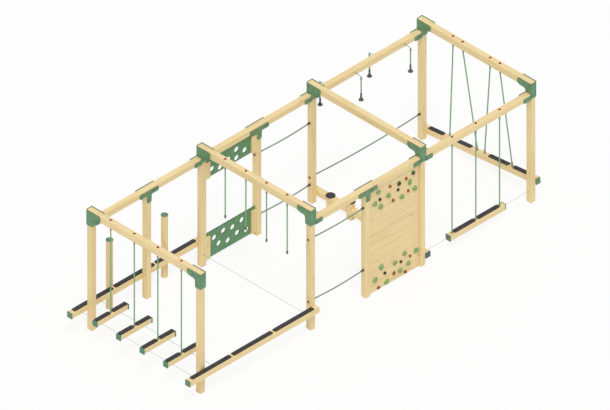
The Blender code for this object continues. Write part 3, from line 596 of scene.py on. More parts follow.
# Balance beams of the first bay: a squared pine on the outer face of each row, bolted to the posts under pine plugs.
# Its free end has a moulded cap, and ribbed rubber strips are nailed along the top.
TIMBER = 2 * HALF
BALANCE_LOW, BALANCE_OVERHANG = 0.345, 0.322
CAP_THICKNESS, CAP_LIP, CAP_HOLD = 0.014, 0.004, 0.004
STRIP_WIDTH, STRIP_BASE, STRIP_RIB, STRIP_CORNER = 0.080, 0.0140, 0.0040, 0.020
RIB_PITCH, RIB_SHARE, RIB_INSET = 0.0215, 0.28, 0.005
BALANCE_STRIPS, BALANCE_STRIP_LENGTH, BALANCE_STRIP_GAP, BALANCE_STRIP_MARGIN = 3, 0.856, 0.044, 0.100
PLUG_SHIFTS = (-0.022, 0.022)
RUBBER_BLACK, RUBBER_DUST, CAP_GREEN = (0.031, 0.029, 0.032), (0.062, 0.058, 0.060), (0.100, 0.200, 0.118)


def toned(colour, share):
    return tuple(share * value for value in colour)


def rubber(name, colour, dust, roughness=0.78):
    """Granular rubber: speckled, dull, and dusty in its hollows."""
    finish, tree, coords = finish_named(name)
    grit = clouds(tree, coords["Object"], 260.0, 3.0, 0.7)
    dusty = clouds(tree, coords["Object"], 7.0, 4.0)
    look = ramp(tree, dusty, [(0.35, colour), (0.75, dust)])
    look = overlaid(tree, look, dust, grit, [(0.55, 0.0), (0.70, 0.5)])
    return dressed(finish, look, dusty, [(0.3, roughness - 0.1), (0.7, roughness + 0.1)], 0.0008, grit)


STRIP_RUBBER = rubber("strip_rubber", RUBBER_BLACK, RUBBER_DUST)
CAP_PLASTIC = rubber("cap_plastic", CAP_GREEN, toned(CAP_GREEN, 1.35), 0.5)


def ribbed_strip(start, end, up):
    """A rubber strip along X with cross ribs, lying at this height."""
    half, corner = (end - start) / 2, []
    for turn in quarter_turns(4):
        in_x, in_y = STRIP_CORNER * (1 - math.sin(turn)), STRIP_CORNER * (1 - math.cos(turn))
        corner.append((half - in_x, STRIP_WIDTH / 2 - in_y))
    right = corner + [(x, -y) for x, y in reversed(corner)]
    base = sheet_metal(right + [(-x, y) for x, y in reversed(right)], STRIP_BASE + 0.001, 0.003)
    parts = [(base, Matrix.Translation(((start + end) / 2, 0, up + (STRIP_BASE - 0.001) / 2)))]
    count = max(2, round((end - start - STRIP_CORNER) / RIB_PITCH))
    pitch = (end - start - STRIP_CORNER) / count
    for number in range(count):
        x = start + STRIP_CORNER / 2 + (number + 0.5) * pitch
        low = (x - RIB_SHARE * pitch, -STRIP_WIDTH / 2 + RIB_INSET, up + 0.004)
        high = (x + RIB_SHARE * pitch, STRIP_WIDTH / 2 - RIB_INSET, up + STRIP_BASE + STRIP_RIB)
        parts.append((block(low, high, 0.0015, 1), None))
    return gathered(parts)


def end_cap(inside, outside, side):
    """A moulded cap over a squared beam's end, from an X inside it to its outer X. The beam stands on Z 0."""
    left, right = sorted((inside, outside))
    reach = side / 2 + CAP_LIP
    return block((left, -reach, -CAP_LIP), (right, reach, side + CAP_LIP), 0.006)


def plugs(name, way, places):
    """Pine plugs over a beam's sunk bolts, a hair proud of the face."""
    profile = [(0, 0.0012), (0.0125, 0.0012), (0.0140, 0.0), (0.0140, -0.001), (0, -0.001)]
    made = [(lathe(profile, 18), facing(way, place)) for place in places]
    piece(f"plugs_{name}", gathered(made), PLANED_PINE, "frame", slot="planed_pine")


for row in ROW:
    name, outward = f"balance_beam_{row}", OUTWARD[row]
    low_x, high_x = STATION["a"] - HALF - BALANCE_OVERHANG, STATION["b"] + HALF
    y = ROW[row] + outward * (HALF + GAP + HALF)
    ends = (low_x, y - HALF, BALANCE_LOW), (high_x, y + HALF, BALANCE_LOW + TIMBER)
    squared_timber(f"timber_{name}", *ends, 0, nodes=[name])
    at = Matrix.Translation((0, y, BALANCE_LOW))
    cap = end_cap(low_x + CAP_HOLD, low_x - CAP_THICKNESS, TIMBER)
    piece(f"cap_{name}", cap, CAP_PLASTIC, "frame", at, "bracket_green")
    strips = []
    for number in range(BALANCE_STRIPS):
        end = high_x - BALANCE_STRIP_MARGIN - number * (BALANCE_STRIP_LENGTH + BALANCE_STRIP_GAP)
        strips.append((ribbed_strip(end - BALANCE_STRIP_LENGTH, end, TIMBER), None))
    piece(f"strips_{name}", gathered(strips), STRIP_RUBBER, "frame", at, "grip_green")
    posts = [STATION["a"], STATION["b"]] + ([STATION["a"] / 2 + STATION["b"] / 2] if row == "back" else [])
    face, level = y + outward * HALF, BALANCE_LOW + HALF
    plugs(name, (0, outward, 0), [(x + shift, face, level + shift) for x in posts for shift in PLUG_SHIFTS])


# Round poles beside the back balance beam: machine-rounded pine of 110 mm, chamfered at the top under a domed
# plastic cap. Each stands on the ground and is bolted through the beam.
POLE_RADIUS, POLE_TOPS, POLE_CAP, POLE_CHAMFER = 0.055, (1.300, 1.170), 0.016, 0.004
POLE_START, POLE_PITCH = 0.590, 1.200
pole_y = ROW["back"] + HALF + GAP + TIMBER + POLE_RADIUS - 0.002
for number, pole_top in enumerate(POLE_TOPS):
    x = STATION["a"] + POLE_START + number * POLE_PITCH
    low, rim, narrow = pole_top - POLE_CAP, POLE_RADIUS + CAP_LIP, POLE_RADIUS - POLE_CHAMFER
    profile = [(0, low + 0.002), (narrow, low + 0.002), (POLE_RADIUS, low - 0.002), (POLE_RADIUS, POLE_CHAMFER)]
    shaft = lathe(profile + [(narrow, 0), (0, 0)], 32)
    shaft.transform(along_axis(2, (0, 0, 0)).inverted())
    piece(f"timber_pole_{number + 1}", shaft, PLANED_PINE, "frame", along_axis(2, (x, pole_y, 0)), "planed_pine")
    profile = [(0, pole_top), (0.55 * rim, pole_top - 0.001), (0.86 * rim, pole_top - 0.0035)]
    cap = lathe(profile + [(rim, pole_top - 0.008), (rim, low), (rim - 0.005, low - 0.001)], 32)
    at = Matrix.Translation((x, pole_y, 0))
    piece(f"cap_pole_{number + 1}", cap, CAP_PLASTIC, "frame", at, "bracket_green")


# Ropes: four-strand polyamide over steel wire, 22 mm, laid in a right-hand twist. Each end is pressed into an alloy
# sleeve with a steel ring, which hangs in the ring of an eye bolt through the beam above.
ROPE_RADIUS, STRANDS, LAY, ROPE_SIDES = 0.011, 4, 0.104, 16
ROPE_PALE, ROPE_DARK = (0.235, 0.470, 0.215), (0.112, 0.290, 0.115)
RING_RADIUS, RING_BAR, RING_DROP = 0.0115, 0.0040, 0.0078
SLEEVE_RADIUS, SLEEVE_LENGTH, SLEEVE_DROP, ROPE_DROP = 0.0150, 0.050, 0.0165, 0.024


def rope_yarn(name, pale, dark):
    """Twisted polyamide: fine fibres, and painted shade in the creases between the strands."""
    finish, tree, coords = finish_named(name)
    fibre = clouds(tree, coords["Object"], 700.0)
    worn = clouds(tree, coords["Object"], 16.0, 3.0)
    hollow = node(tree, "NewGeometry").outputs["Pointiness"]
    yarn = ramp(tree, worn, [(0.3, toned(pale, 0.85)), (0.7, pale)])
    yarn = overlaid(tree, yarn, dark, fibre, [(0.40, 0.45), (0.62, 0.0)])
    # Painted shade: where the surface curves inward, between the strands, the yarn takes the dark colour.
    yarn = overlaid(tree, yarn, dark, hollow, [(0.44, 0.8), (0.50, 0.0)])
    tree.nodes["Principled BSDF"].inputs["Sheen Weight"].default_value = 0.15
    return dressed(finish, yarn, fibre, [(0.3, 0.70), (0.7, 0.90)], 0.0009)


def dull_steel(name, dark, pale):
    """Plated steel or alloy gone dull: grey, slightly mottled."""
    finish, tree, coords = finish_named(name, 0.6)
    mottle = clouds(tree, coords["Object"], 90.0, 3.0)
    return dressed(finish, ramp(tree, mottle, [(0.3, dark), (0.7, pale)]), mottle, [(0.3, 0.38), (0.7, 0.58)])


ROPE = rope_yarn("green_rope", ROPE_PALE, ROPE_DARK)
SLEEVE_ALLOY = dull_steel("sleeve_alloy", (0.220, 0.310, 0.225), (0.330, 0.420, 0.330))


def swept(points, section, closed=False):
    """A bar along points. For a point's number, the section gives each turn and its distance from the middle."""
    shape = bmesh.new()
    points = [Vector(point) for point in points]
    first, last = (points[-1], points[0]) if closed else (points[0], points[-1])
    padded = [first, *points, last]
    ahead = [after - before for before, after in zip(padded, padded[2:])]
    side = ahead[0].orthogonal().normalized()
    rings = []
    for number, (point, forward) in enumerate(zip(points, ahead)):
        forward = forward.normalized()
        side = (side - forward * side.dot(forward)).normalized()
        other = forward.cross(side)
        out = [(side * math.cos(turn) + other * math.sin(turn)) * reach for turn, reach in section(number)]
        rings.append([shape.verts.new(point + step) for step in out])
    sides = len(rings[0])
    for near, far in zip(rings, rings[1:] + (rings[:1] if closed else [])):
        for step in range(sides):
            after = (step + 1) % sides
            shape.faces.new((near[step], near[after], far[after], far[step]))
    if not closed:
        shape.faces.new(rings[0])
        shape.faces.new(rings[-1])
    return shape


def round_section(radius, sides=8):
    return lambda number: [(turn, radius) for turn in full_turn(sides)]


def strand_section(number):
    """The rope's lobed section, turned a sixteenth further at each point, so that its strands wind round it."""
    section = []
    for step in range(ROPE_SIDES):
        lobe = abs(math.cos(math.pi * STRANDS * step / ROPE_SIDES))
        section.append((2 * math.pi * (step + number) / ROPE_SIDES, ROPE_RADIUS * (0.84 + 0.18 * lobe)))
    return section


def declare_line(made, line, radius=ROPE_RADIUS, stiffness="medium", lay="taut", far_end="object", with_pieces=()):
    """Declares a rope or a wire, with its length along its points to a millimetre."""
    length = round(sum((far - near).length for near, far in zip(line, line[1:])), 3)
    kind = {"diameter": 2 * radius, "far_end": far_end, "stiffness": stiffness, "lay": lay}
    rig.cord(made, exit=line[0], length=length, path=line, with_pieces=with_pieces, **kind)


def laid_rope(name, start, end, body, sag=0.0, nodes=(), yarn=ROPE):
    """A rope that hangs by so much in the middle, and the points down its middle, a sixteenth of its lay apart."""
    start, end = Vector(start), Vector(end)
    count = max(8, round((end - start).length / (LAY / ROPE_SIDES)))
    line = []
    for number in range(count + 1):
        share = number / count
        line.append(start.lerp(end, share) - Vector((0, 0, 4 * sag * share * (1 - share))))
    return piece(name, swept(line, strand_section), yarn, body, slot="rope_green", nodes=nodes, smooth=80), line


def ring(centre, across, radius=RING_RADIUS, bar=RING_BAR, steps=16, sides=8):
    """A ring of round bar, round an axis of the frame."""
    first, second = [axis for axis in range(3) if axis != across]
    line = []
    for turn in full_turn(steps):
        point = Vector(centre)
        point[first] += radius * math.cos(turn)
        point[second] += radius * math.sin(turn)
        line.append(point)
    return swept(line, round_section(bar, sides), closed=True)


def sleeve(top, down, length=SLEEVE_LENGTH):
    """The pressed alloy sleeve on a rope's end, starting at a point and running this way."""
    profile = [(0.6, 0), (1, 0.005), (1, length - 0.008), (0.80, length)]
    return lathe([(share * SLEEVE_RADIUS, height) for share, height in profile]), facing(down, top)


def hanging(name, pivot, foot, body, across, nodes=()):
    """One hanging rope: eye bolt in the beam, ring on the rope, sleeve, and the laid rope to its foot."""
    pivot, foot = Vector(pivot), Vector(foot)
    down = (foot - pivot).normalized()
    washer = lathe([(0, 0.0195), (0.016, 0.0195), (0.018, 0.0180), (0.018, 0.0155), (0, 0.0155)])
    eye = [(ring(pivot + Vector((0, 0, RING_DROP)), 1 - across), None), (washer, Matrix.Translation(pivot))]
    piece(f"eye_{name}", gathered(eye), SLEEVE_ALLOY, "frame")
    fittings = [(ring(pivot + down * RING_DROP, across), None), sleeve(pivot + down * SLEEVE_DROP, down)]
    piece(f"sleeve_{name}", gathered(fittings), SLEEVE_ALLOY, body)
    return laid_rope(name, pivot + down * ROPE_DROP, foot, body, nodes=nodes)


# Swinging steps of the first bay: short rounded pine beams, each on one rope from cross beam a. They have moulded
# caps, two rubber strips, and a washered collar where the rope goes in.
STEP_COUNT, STEP_PITCH, STEP_LENGTH, STEP_SIDE, STEP_TOP, STEP_EDGE = 4, 0.513, 0.705, 0.096, 0.524, 0.018
ROPE_ROOM, CAP_ROOM, ROPE_LIFT, PIVOT_DROP = 0.028, 0.002, 0.002, 0.020
CROSS_PIVOT = CROSS_LOW - GAP - PIVOT_DROP
MIDDLE = (ROW["front"] + ROW["back"]) / 2
STEP_CAP_GREEN = (0.060, 0.185, 0.110)
STEP_CAP = rubber("step_cap_plastic", STEP_CAP_GREEN, toned(STEP_CAP_GREEN, 1.4), 0.5)
ZINC = dull_steel("dull_zinc_on_steel", (0.24, 0.26, 0.23), (0.40, 0.42, 0.38))


def padded_beam(name, centre, length, side, top, edge, rope_places, body, caps):
    """A short beam along X under its ropes, with caps, strips, and a round collar where each rope enters its top."""
    x, y = centre.x, centre.y
    reach = length / 2 - CAP_THICKNESS
    ends = (x - reach, y - side / 2, top - side), (x + reach, y + side / 2, top)
    squared_timber(f"timber_{name}", *ends, 0, body, edge, [name])
    at = Matrix.Translation((x, y, top - side))
    for end, word, look in zip((-1, 1), ("left", "right"), caps):
        cap = end_cap(end * (reach - CAP_HOLD), end * length / 2, side)
        piece(f"cap_{name}_{word}", cap, look, body, at, "bracket_green")
    starts = [-reach + CAP_ROOM, *[place + ROPE_ROOM for place in rope_places]]
    stops = [*[place - ROPE_ROOM for place in rope_places], reach - CAP_ROOM]
    spans = [(start, stop) for start, stop in zip(starts, stops) if stop - start > 2 * ROPE_ROOM]
    strips = [(ribbed_strip(start, stop, side), None) for start, stop in spans]
    piece(f"strips_{name}", gathered(strips), STRIP_RUBBER, body, at, "grip_green")
    profile = [(ROPE_RADIUS, 0.010), (0.019, 0.009), (0.023, 0.002), (0.023, -0.002)]
    collars = [(lathe(profile, 20), Matrix.Translation((x + place, y, top))) for place in rope_places]
    piece(f"collars_{name}", gathered(collars), ZINC, body)


step_y = [MIDDLE + (1.5 - number) * STEP_PITCH for number in range(STEP_COUNT)]
for number, y in enumerate(step_y):
    name, body = f"swing_step_{number + 1}", f"step_{number + 1}"
    pivot = Vector((STATION["a"], y, CROSS_PIVOT))
    padded_beam(name, pivot, STEP_LENGTH, STEP_SIDE, STEP_TOP, STEP_EDGE, (0,), body, (STEP_CAP, STEP_CAP))
    declare_line(*hanging(f"rope_{name}", pivot, (pivot.x, pivot.y, STEP_TOP + ROPE_LIFT), body, 0))


# The cables that link the swinging steps: two thin steel wires from the back balance beam to the front one. They run
# through an eye under each step, so the steps swing together, and the end spans bend with them.
CABLE_RADIUS, CABLE_SIDE, CABLE_DROP, CABLE_POINTS = 0.0035, 0.209, 0.010, 16
CABLE_GREY = (0.56, 0.60, 0.60)
SPAN_BODIES = (("frame", "step_1"), ("step_1",), ("step_2",), ("step_3",), ("step_4", "frame"))


def wire(name, colour):
    """Stranded steel wire, with painted shade in bands for the grooves of its lay."""
    finish, tree, coords = finish_named(name, 0.3)
    waves = {"Vector": coords["Object"], "Scale": 120.0, "Distortion": 1.0}
    lay = node(tree, "TexWave", waves, bands_direction="DIAGONAL").outputs["Fac"]
    # Painted shade: the darker bands stand for the shaded grooves between the wires.
    look = ramp(tree, lay, [(0.2, toned(colour, 0.75)), (0.7, colour)])
    return dressed(finish, look, lay, [(0.2, 0.55), (0.7, 0.40)])


CABLE = wire("steel_wire", CABLE_GREY)


def cable(name, start, end, *bodies):
    """A wire between two points, which rides on its body or bends between its two bodies."""
    line = [Vector(start).lerp(Vector(end), number / CABLE_POINTS) for number in range(CABLE_POINTS + 1)]
    made = shaped(name, swept(line, round_section(CABLE_RADIUS)), CABLE)
    if len(bodies) == 2:
        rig.blend(made, *bodies, start=line[0], end=line[-1])
    else:
        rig.ride(made, *bodies)
    declare_line(made, line, CABLE_RADIUS, "stiff")


cable_up = STEP_TOP - STEP_SIDE - CABLE_DROP
for side, word in ((-1, "left"), (1, "right")):
    x = STATION["a"] + side * CABLE_SIDE
    for number, y in enumerate(step_y):
        plate = lathe([(0, 0.002), (0.010, 0.002), (0.010, -0.002), (0, -0.002)], 12)
        across = Matrix.Translation((x, y, cable_up)) @ Matrix.Rotation(math.pi / 2, 4, "Z")
        eye = [
            (ring((0, 0, 0), 0, 0.011, 0.003, 12, 6), across),
            (plate, Matrix.Translation((x, y, STEP_TOP - STEP_SIDE))),
        ]
        piece(f"cable_eye_{number + 1}_{word}", gathered(eye), ZINC, f"step_{number + 1}")
    stops = [(x, y, cable_up) for y in (ROW["back"] + GAP + HALF, *step_y, ROW["front"] - GAP - HALF)]
    for number, bodies in enumerate(SPAN_BODIES):
        cable(f"step_cable_{word}_{number + 1}", *stops[number : number + 2], *bodies)


# The low line of station b: the same thin steel wire, tight between the two posts a hand above the ground, to walk
# along while holding the free ropes. Its ends are held in small eyes in the posts' inner faces.
LOW_LINE_UP = 0.218
low_ends = [(STATION["b"], y, LOW_LINE_UP) for y in (ROW["back"] - HALF, ROW["front"] + HALF)]
cable("low_line", *low_ends, "frame")
profile = [(0, 0.010), (0.0045, 0.010), (0.0060, 0.004), (0.0110, 0.002), (0.0120, -0.001), (0, -0.001)]
eyes = [(lathe(profile, 14), facing((0, way, 0), end)) for way, end in zip((-1, 1), low_ends)]
piece("low_line_eyes", gathered(eyes), ZINC, "frame")


# Free ropes of cross beam b: four of the same laid ropes to swing from, which end a good metre above the ground. Each
# hangs from its own eye bolt, and its end is moulded into a rubber stopper with a rounded foot.
FREE_COUNT, FREE_PITCH, FREE_DROP, STOPPER_HOLD = 4, 0.450, 0.975, 0.012
STOPPER = [(0.0, 0.0), (0.009, 0.0012), (0.0135, 0.006), (0.0155, 0.014)]
STOPPER += [(0.0155, 0.044), (0.0140, 0.052), (0.0115, 0.060)]
GRIP_RUBBER = rubber("grip_rubber", (0.048, 0.080, 0.052), (0.075, 0.120, 0.080), 0.6)
free_y = [MIDDLE + (1.5 - number) * FREE_PITCH for number in range(FREE_COUNT)]
for number, y in enumerate(free_y, 1):
    pivot = Vector((STATION["b"], y, CROSS_PIVOT))
    end = pivot - Vector((0, 0, FREE_DROP))
    foot = end + Vector((0, 0, STOPPER_HOLD))
    hung = hanging(f"free_rope_line_{number}", pivot, foot, f"rope_{number}", 0, [f"free_rope_{number}"])
    at = Matrix.Translation(end)
    stopper = piece(f"stopper_{number}", lathe(STOPPER, 20), GRIP_RUBBER, f"rope_{number}", at, "grip_green")
    declare_line(*hung, lay="hanging", far_end="fitting", with_pieces=[stopper])


# The swinging balance beam of the last bay: a square pine on three ropes from the front long beam. Strips lie between
# the ropes, and a thin wire at each end keeps it from swinging far.
SWING_LENGTH, SWING_TOP, SWING_ROPES = 1.220, 0.258, (-0.518, 0.0, 0.518)
SWING_CAP_GREY = rubber("swing_cap_plastic", (0.11, 0.17, 0.13), (0.16, 0.23, 0.18), 0.5)
swing = Vector((STATION["c"] / 2 + STATION["d"] / 2, ROW["front"], LONG_LOW - GAP - PIVOT_DROP))
caps = (SWING_CAP_GREY, CAP_PLASTIC)
padded_beam("swing_beam", swing, SWING_LENGTH, TIMBER, SWING_TOP, POST_EDGE, SWING_ROPES, "swinging_beam", caps)
for number, place in enumerate(SWING_ROPES):
    pivot = swing + Vector((place, 0, 0))
    foot = (pivot.x, pivot.y, SWING_TOP + ROPE_LIFT)
    declare_line(*hanging(f"rope_swing_beam_{number + 1}", pivot, foot, "swinging_beam", 1))
low_beam_face, post_face = STATION["c"] + HALF + GAP + TIMBER, STATION["d"] - HALF - GAP
stops = (low_beam_face, swing.x - SWING_LENGTH / 2, swing.x + SWING_LENGTH / 2, post_face)
stops = [(x, swing.y, SWING_TOP - HALF) for x in stops]
cable("swing_cable_left", *stops[:2], "frame", "swinging_beam")
cable("swing_cable_right", *stops[2:], "swinging_beam", "frame")


# Hand grips of the last bay: bell-shaped rubber grips on short ropes. Their rings hang in bent steel hooks that are
# screwed into the back long beam, by turns on its far and near side.
GRIP_COUNT, GRIP_START, GRIP_PITCH = 4, 0.355, 0.538
HOOK_REACH, HOOK_RADIUS, HOOK_LEVEL = 0.128, 0.0055, LONG_LOW + HALF - 0.004
HOOK_BEND = ((-0.004, 0.0), (0.020, 0.0), (0.045, 0.0), (0.070, 0.0), (0.088, -0.001), (0.101, -0.005))
HOOK_BEND += ((0.108, -0.012), (0.113, -0.019), (0.120, -0.0240), (0.128, -0.0253), (0.138, -0.0245))
HOOK_BEND += ((0.146, -0.019), (0.150, -0.009))
HOOK_STEEL = dull_steel("hook_steel", (0.230, 0.285, 0.235), (0.330, 0.385, 0.330))
GRIP_DROP, GRIP_RADIUS, GRIP_NECK, GRIP_HEIGHT = 0.292, 0.042, 0.015, 0.145
GRIP_PIVOT = HOOK_LEVEL - 0.005 - GAP - PIVOT_DROP


def bell():
    """The grip's outline, from its neck to its flared foot."""
    flare = GRIP_RADIUS - GRIP_NECK
    outline = [(0.0005, -0.52), *[(flare * (step / 6) ** 1.7, -0.52 - 0.34 * step / 6) for step in range(1, 7)]]
    outline += [(flare + 0.0005, -0.885), (flare - 0.003, -0.925), (0.6 * flare, -0.97), (0, -1), (-GRIP_NECK, -1)]
    neck = [(ROPE_RADIUS, 0.002), (GRIP_NECK - 0.001, 0.001), (GRIP_NECK, -0.004)]
    return neck + [(GRIP_NECK + out, share * GRIP_HEIGHT) for out, share in outline]


down = Vector((0, 0, -1))
for number in range(GRIP_COUNT):
    body, side = f"grip_{number + 1}", 1 if number % 2 == 0 else -1
    face = ROW["back"] + side * HALF
    x = STATION["c"] + GRIP_START + number * GRIP_PITCH
    pivot = Vector((x, face + side * HOOK_REACH, GRIP_PIVOT))
    bar = [(x, face + side * out, HOOK_LEVEL + up) for out, up in HOOK_BEND]
    plate = lathe([(0, 0.002), (0.009, 0.002), (0.010, 0.0), (0, 0.0)], 18)
    hook = [(swept(bar, round_section(HOOK_RADIUS, 12)), None), (plate, facing((0, side, 0), (x, face, HOOK_LEVEL)))]
    piece(f"hook_{number + 1}", gathered(hook), HOOK_STEEL, "frame")
    fittings = [(ring(pivot + down * 0.001, 1), None), sleeve(pivot + down * 0.010, down, 0.040)]
    piece(f"grip_ring_{number + 1}", gathered(fittings), SLEEVE_ALLOY, body)
    made, line = laid_rope(f"grip_rope_{number + 1}", pivot + down * 0.026, pivot + down * (GRIP_DROP + 0.010), body)
    at, replaced = Matrix.Translation(pivot + down * GRIP_DROP), [f"hand_grip_{number + 1}"]
    piece(f"bell_{number + 1}", lathe(bell(), 28), GRIP_RUBBER, body, at, "grip_green", replaced)
    declare_line(made, line, lay="hanging")


# Hand ropes between two posts: the same rope with a dark ferrule pressed on each end, bolted to the post's face and
# left with a slight sag.
FERRULE_RADIUS, FERRULE_LENGTH, FERRULE_HOLD = 0.016, 0.055, 0.020
FERRULE = [(0, -0.0002), (0.021, -0.0002), (0.021, 0.005), (FERRULE_RADIUS, 0.008)]
FERRULE += [(FERRULE_RADIUS, FERRULE_LENGTH - 0.010), (0.012, FERRULE_LENGTH)]
FERRULE_BROWN = rubber("ferrule_brown", (0.050, 0.038, 0.032), (0.085, 0.068, 0.058), 0.45)
MID_BC = STATION["b"] / 2 + STATION["c"] / 2
SIDE_ROPE_YARN = rope_yarn("grey_green_rope", (0.210, 0.320, 0.215), (0.120, 0.195, 0.128))
SIDE_ROPES = (
    ("side_rope_bc_back_upper", MID_BC, STATION["c"], "back", 1.510, 0.022),
    ("side_rope_bc_back_lower", MID_BC, STATION["c"], "back", 0.345, 0.022),
    ("side_rope_cd_back", STATION["c"], STATION["d"], "back", 0.480, 0.038),
    ("side_rope_bc_front_upper", STATION["b"], MID_BC, "front", 1.690, 0.022),
    ("side_rope_bc_front_lower", STATION["b"], MID_BC, "front", 0.520, 0.022),
)
for name, first, last, row, up, sag in SIDE_ROPES:
    faces = [(first + HALF + GAP, 1), (last - HALF - GAP, -1)]
    ends = [(x + way * FERRULE_HOLD, ROW[row], up) for x, way in faces]
    declare_line(*laid_rope(f"line_{name}", *ends, "frame", sag, [name], SIDE_ROPE_YARN))
    ferrules = [(lathe(FERRULE, 20), facing((way, 0, 0), (x, ROW[row], up))) for x, way in faces]
    piece(f"ferrules_{name}", gathered(ferrules), FERRULE_BROWN, "frame")


# The inclined beam of the last station: squared pine bolted across the outer faces of both posts, rising to the
# front. Its upper end has a cap, and rubber strips lie between the four climbing ropes.
INCLINE_LOW, INCLINE_HIGH, WIDTH = 0.070, 0.300, 2.370
INCLINE_STRIPS = ((-1.120, -0.720), (-0.615, -0.185), (0.200, 0.650), (0.800, 1.120))
slope = math.atan2(INCLINE_HIGH - INCLINE_LOW, WIDTH)
half_up, fall = HALF / math.cos(slope), math.tan(slope)
incline_centre = Vector((STATION["d"] + HALF + GAP + HALF, MIDDLE, (INCLINE_LOW + INCLINE_HIGH) / 2 + half_up))
half_long = (WIDTH / 2 + HALF) / math.cos(slope)
leaning = Matrix.Translation(incline_centre) @ Matrix.Rotation(-slope, 4, "X")
tilted = leaning @ along_axis(1, (0, 0, 0))
beam = block((-half_long, -HALF, -HALF), (half_long, HALF, HALF), POST_EDGE)
piece("timber_incline_beam", beam, PLANED_PINE, "frame", tilted, "planed_pine", ["incline_beam"])
low = (-half_long - CAP_THICKNESS, -HALF - CAP_LIP, -HALF + 0.001)
cap = block(low, (-half_long + CAP_HOLD, HALF + CAP_LIP, HALF - 0.001), 0.005)
piece("cap_incline_beam", cap, CAP_PLASTIC, "frame", tilted, "bracket_green")
level = leaning @ Matrix.Rotation(math.pi / 2, 4, "Z")
spans = [[end / math.cos(slope) for end in ends] for ends in INCLINE_STRIPS]
strips = gathered([(ribbed_strip(*span, HALF), None) for span in spans])
piece("strips_incline_beam", strips, STRIP_RUBBER, "frame", level, "grip_green")
places = [(y + shift, shift) for y in ROW.values() for shift in PLUG_SHIFTS]
places = [(incline_centre.x + HALF, y, incline_centre.z - (y - MIDDLE) * fall + shift) for y, shift in places]
plugs("incline_beam", (1, 0, 0), places)


# Climbing ropes of the last station: four ropes from cross beam d to the inclined beam, the outer two spread wide.
# Each is held by an eye bolt and a ring at both ends.
CLIMB_TOPS, CLIMB_FEET = (-0.510, -0.300, 0.300, 0.510), (-0.680, -0.080, 0.080, 0.680)
LOW_WASHER = [(0, -0.0155), (0.018, -0.0155), (0.018, -0.0185), (0.016, -0.0200), (0, -0.0200)]
out_of_beam = Vector((0, math.sin(slope), math.cos(slope)))
for number, (top_y, foot_y) in enumerate(zip(CLIMB_TOPS, CLIMB_FEET)):
    name = f"climb_rope_{number + 1}"
    top = Vector((STATION["d"], MIDDLE + top_y, CROSS_PIVOT))
    foot = incline_centre + Vector((0, foot_y, -foot_y * fall + half_up)) + out_of_beam * (PIVOT_DROP + GAP)
    way = (foot - top).normalized()
    hung = hanging(f"line_{name}", top, foot - way * ROPE_DROP, "frame", 0, [name])
    low_eye = [
        (ring(foot - way * RING_DROP, 1), None),
        (ring(foot - out_of_beam * RING_DROP, 0), None),
        sleeve(foot - way * SLEEVE_DROP, -way),
        (lathe(LOW_WASHER), facing(out_of_beam, foot)),
    ]
    piece(f"low_eye_{name}", gathered(low_eye), ZINC, "frame")
    declare_line(*hung)


# The low beam beside station c: squared pine on edge, bolted to the posts, with five round rubber pads. Each pad has
# a square stub below it that reaches the ground, and every second one stands on a block above the beam too.
STEPPING_LOW, PAD_COUNT, PAD_PITCH, PAD_RISE, STUB_INSET = 0.115, 5, 0.440, 0.115, 0.002
PAD = [(0, 0.019), (0.030, 0.0205), (0.062, 0.0195), (0.0725, 0.0175), (0.0775, 0.012), (0.0775, 0.002), (0.0745, 0)]
PAD_RINGS, PAD_RING_UP, PAD_RING_BAR = (0.022, 0.038, 0.054), 0.0195, 0.0025
DARK_CAP = rubber("dark_cap_plastic", (0.040, 0.105, 0.065), (0.060, 0.140, 0.090), 0.5)
stepping_x = STATION["c"] + HALF + GAP + HALF
stepping_top = STEPPING_LOW + TIMBER
front, back = ROW["front"] - HALF, ROW["back"] + HALF
ends = (stepping_x - HALF, front, STEPPING_LOW), (stepping_x + HALF, back, stepping_top)
squared_timber("timber_stepping_beam", *ends, 1, nodes=["stepping_beam"])
low = (stepping_x - HALF - CAP_LIP, front - CAP_THICKNESS, STEPPING_LOW - CAP_LIP)
cap = block(low, (stepping_x + HALF + CAP_LIP, front + GAP, stepping_top + CAP_LIP), 0.006)
piece("cap_stepping_beam", cap, DARK_CAP, "frame", slot="bracket_green")
left, right = stepping_x - HALF + STUB_INSET, stepping_x + HALF - STUB_INSET
pads = []
for number in range(PAD_COUNT):
    y, top = MIDDLE + (number - (PAD_COUNT - 1) / 2) * PAD_PITCH, stepping_top
    ends = (left, y - HALF, 0), (right, y + HALF, STEPPING_LOW + 0.002)
    squared_timber(f"stub_{number + 1}", *ends, 2, edge=0.004)
    if number % 2 == 1:
        top += PAD_RISE
        ends = (left, y - HALF, stepping_top - 0.002), (right, y + HALF, top)
        squared_timber(f"riser_{number + 1}", *ends, 2, edge=0.006)
    low = top - 0.001
    pads.append((lathe(PAD, 40), Matrix.Translation((stepping_x, y, low))))
    for reach in PAD_RINGS:
        pads.append((ring((stepping_x, y, low + PAD_RING_UP), 2, reach, PAD_RING_BAR, 32, 6), None))
piece("pads_stepping_beam", gathered(pads), STRIP_RUBBER, "frame", slot="grip_green")
face, level = stepping_x + HALF, STEPPING_LOW + HALF
plugs("stepping_beam", (1, 0, 0), [(face, y + shift, level + shift) for y in ROW.values() for shift in PLUG_SHIFTS])


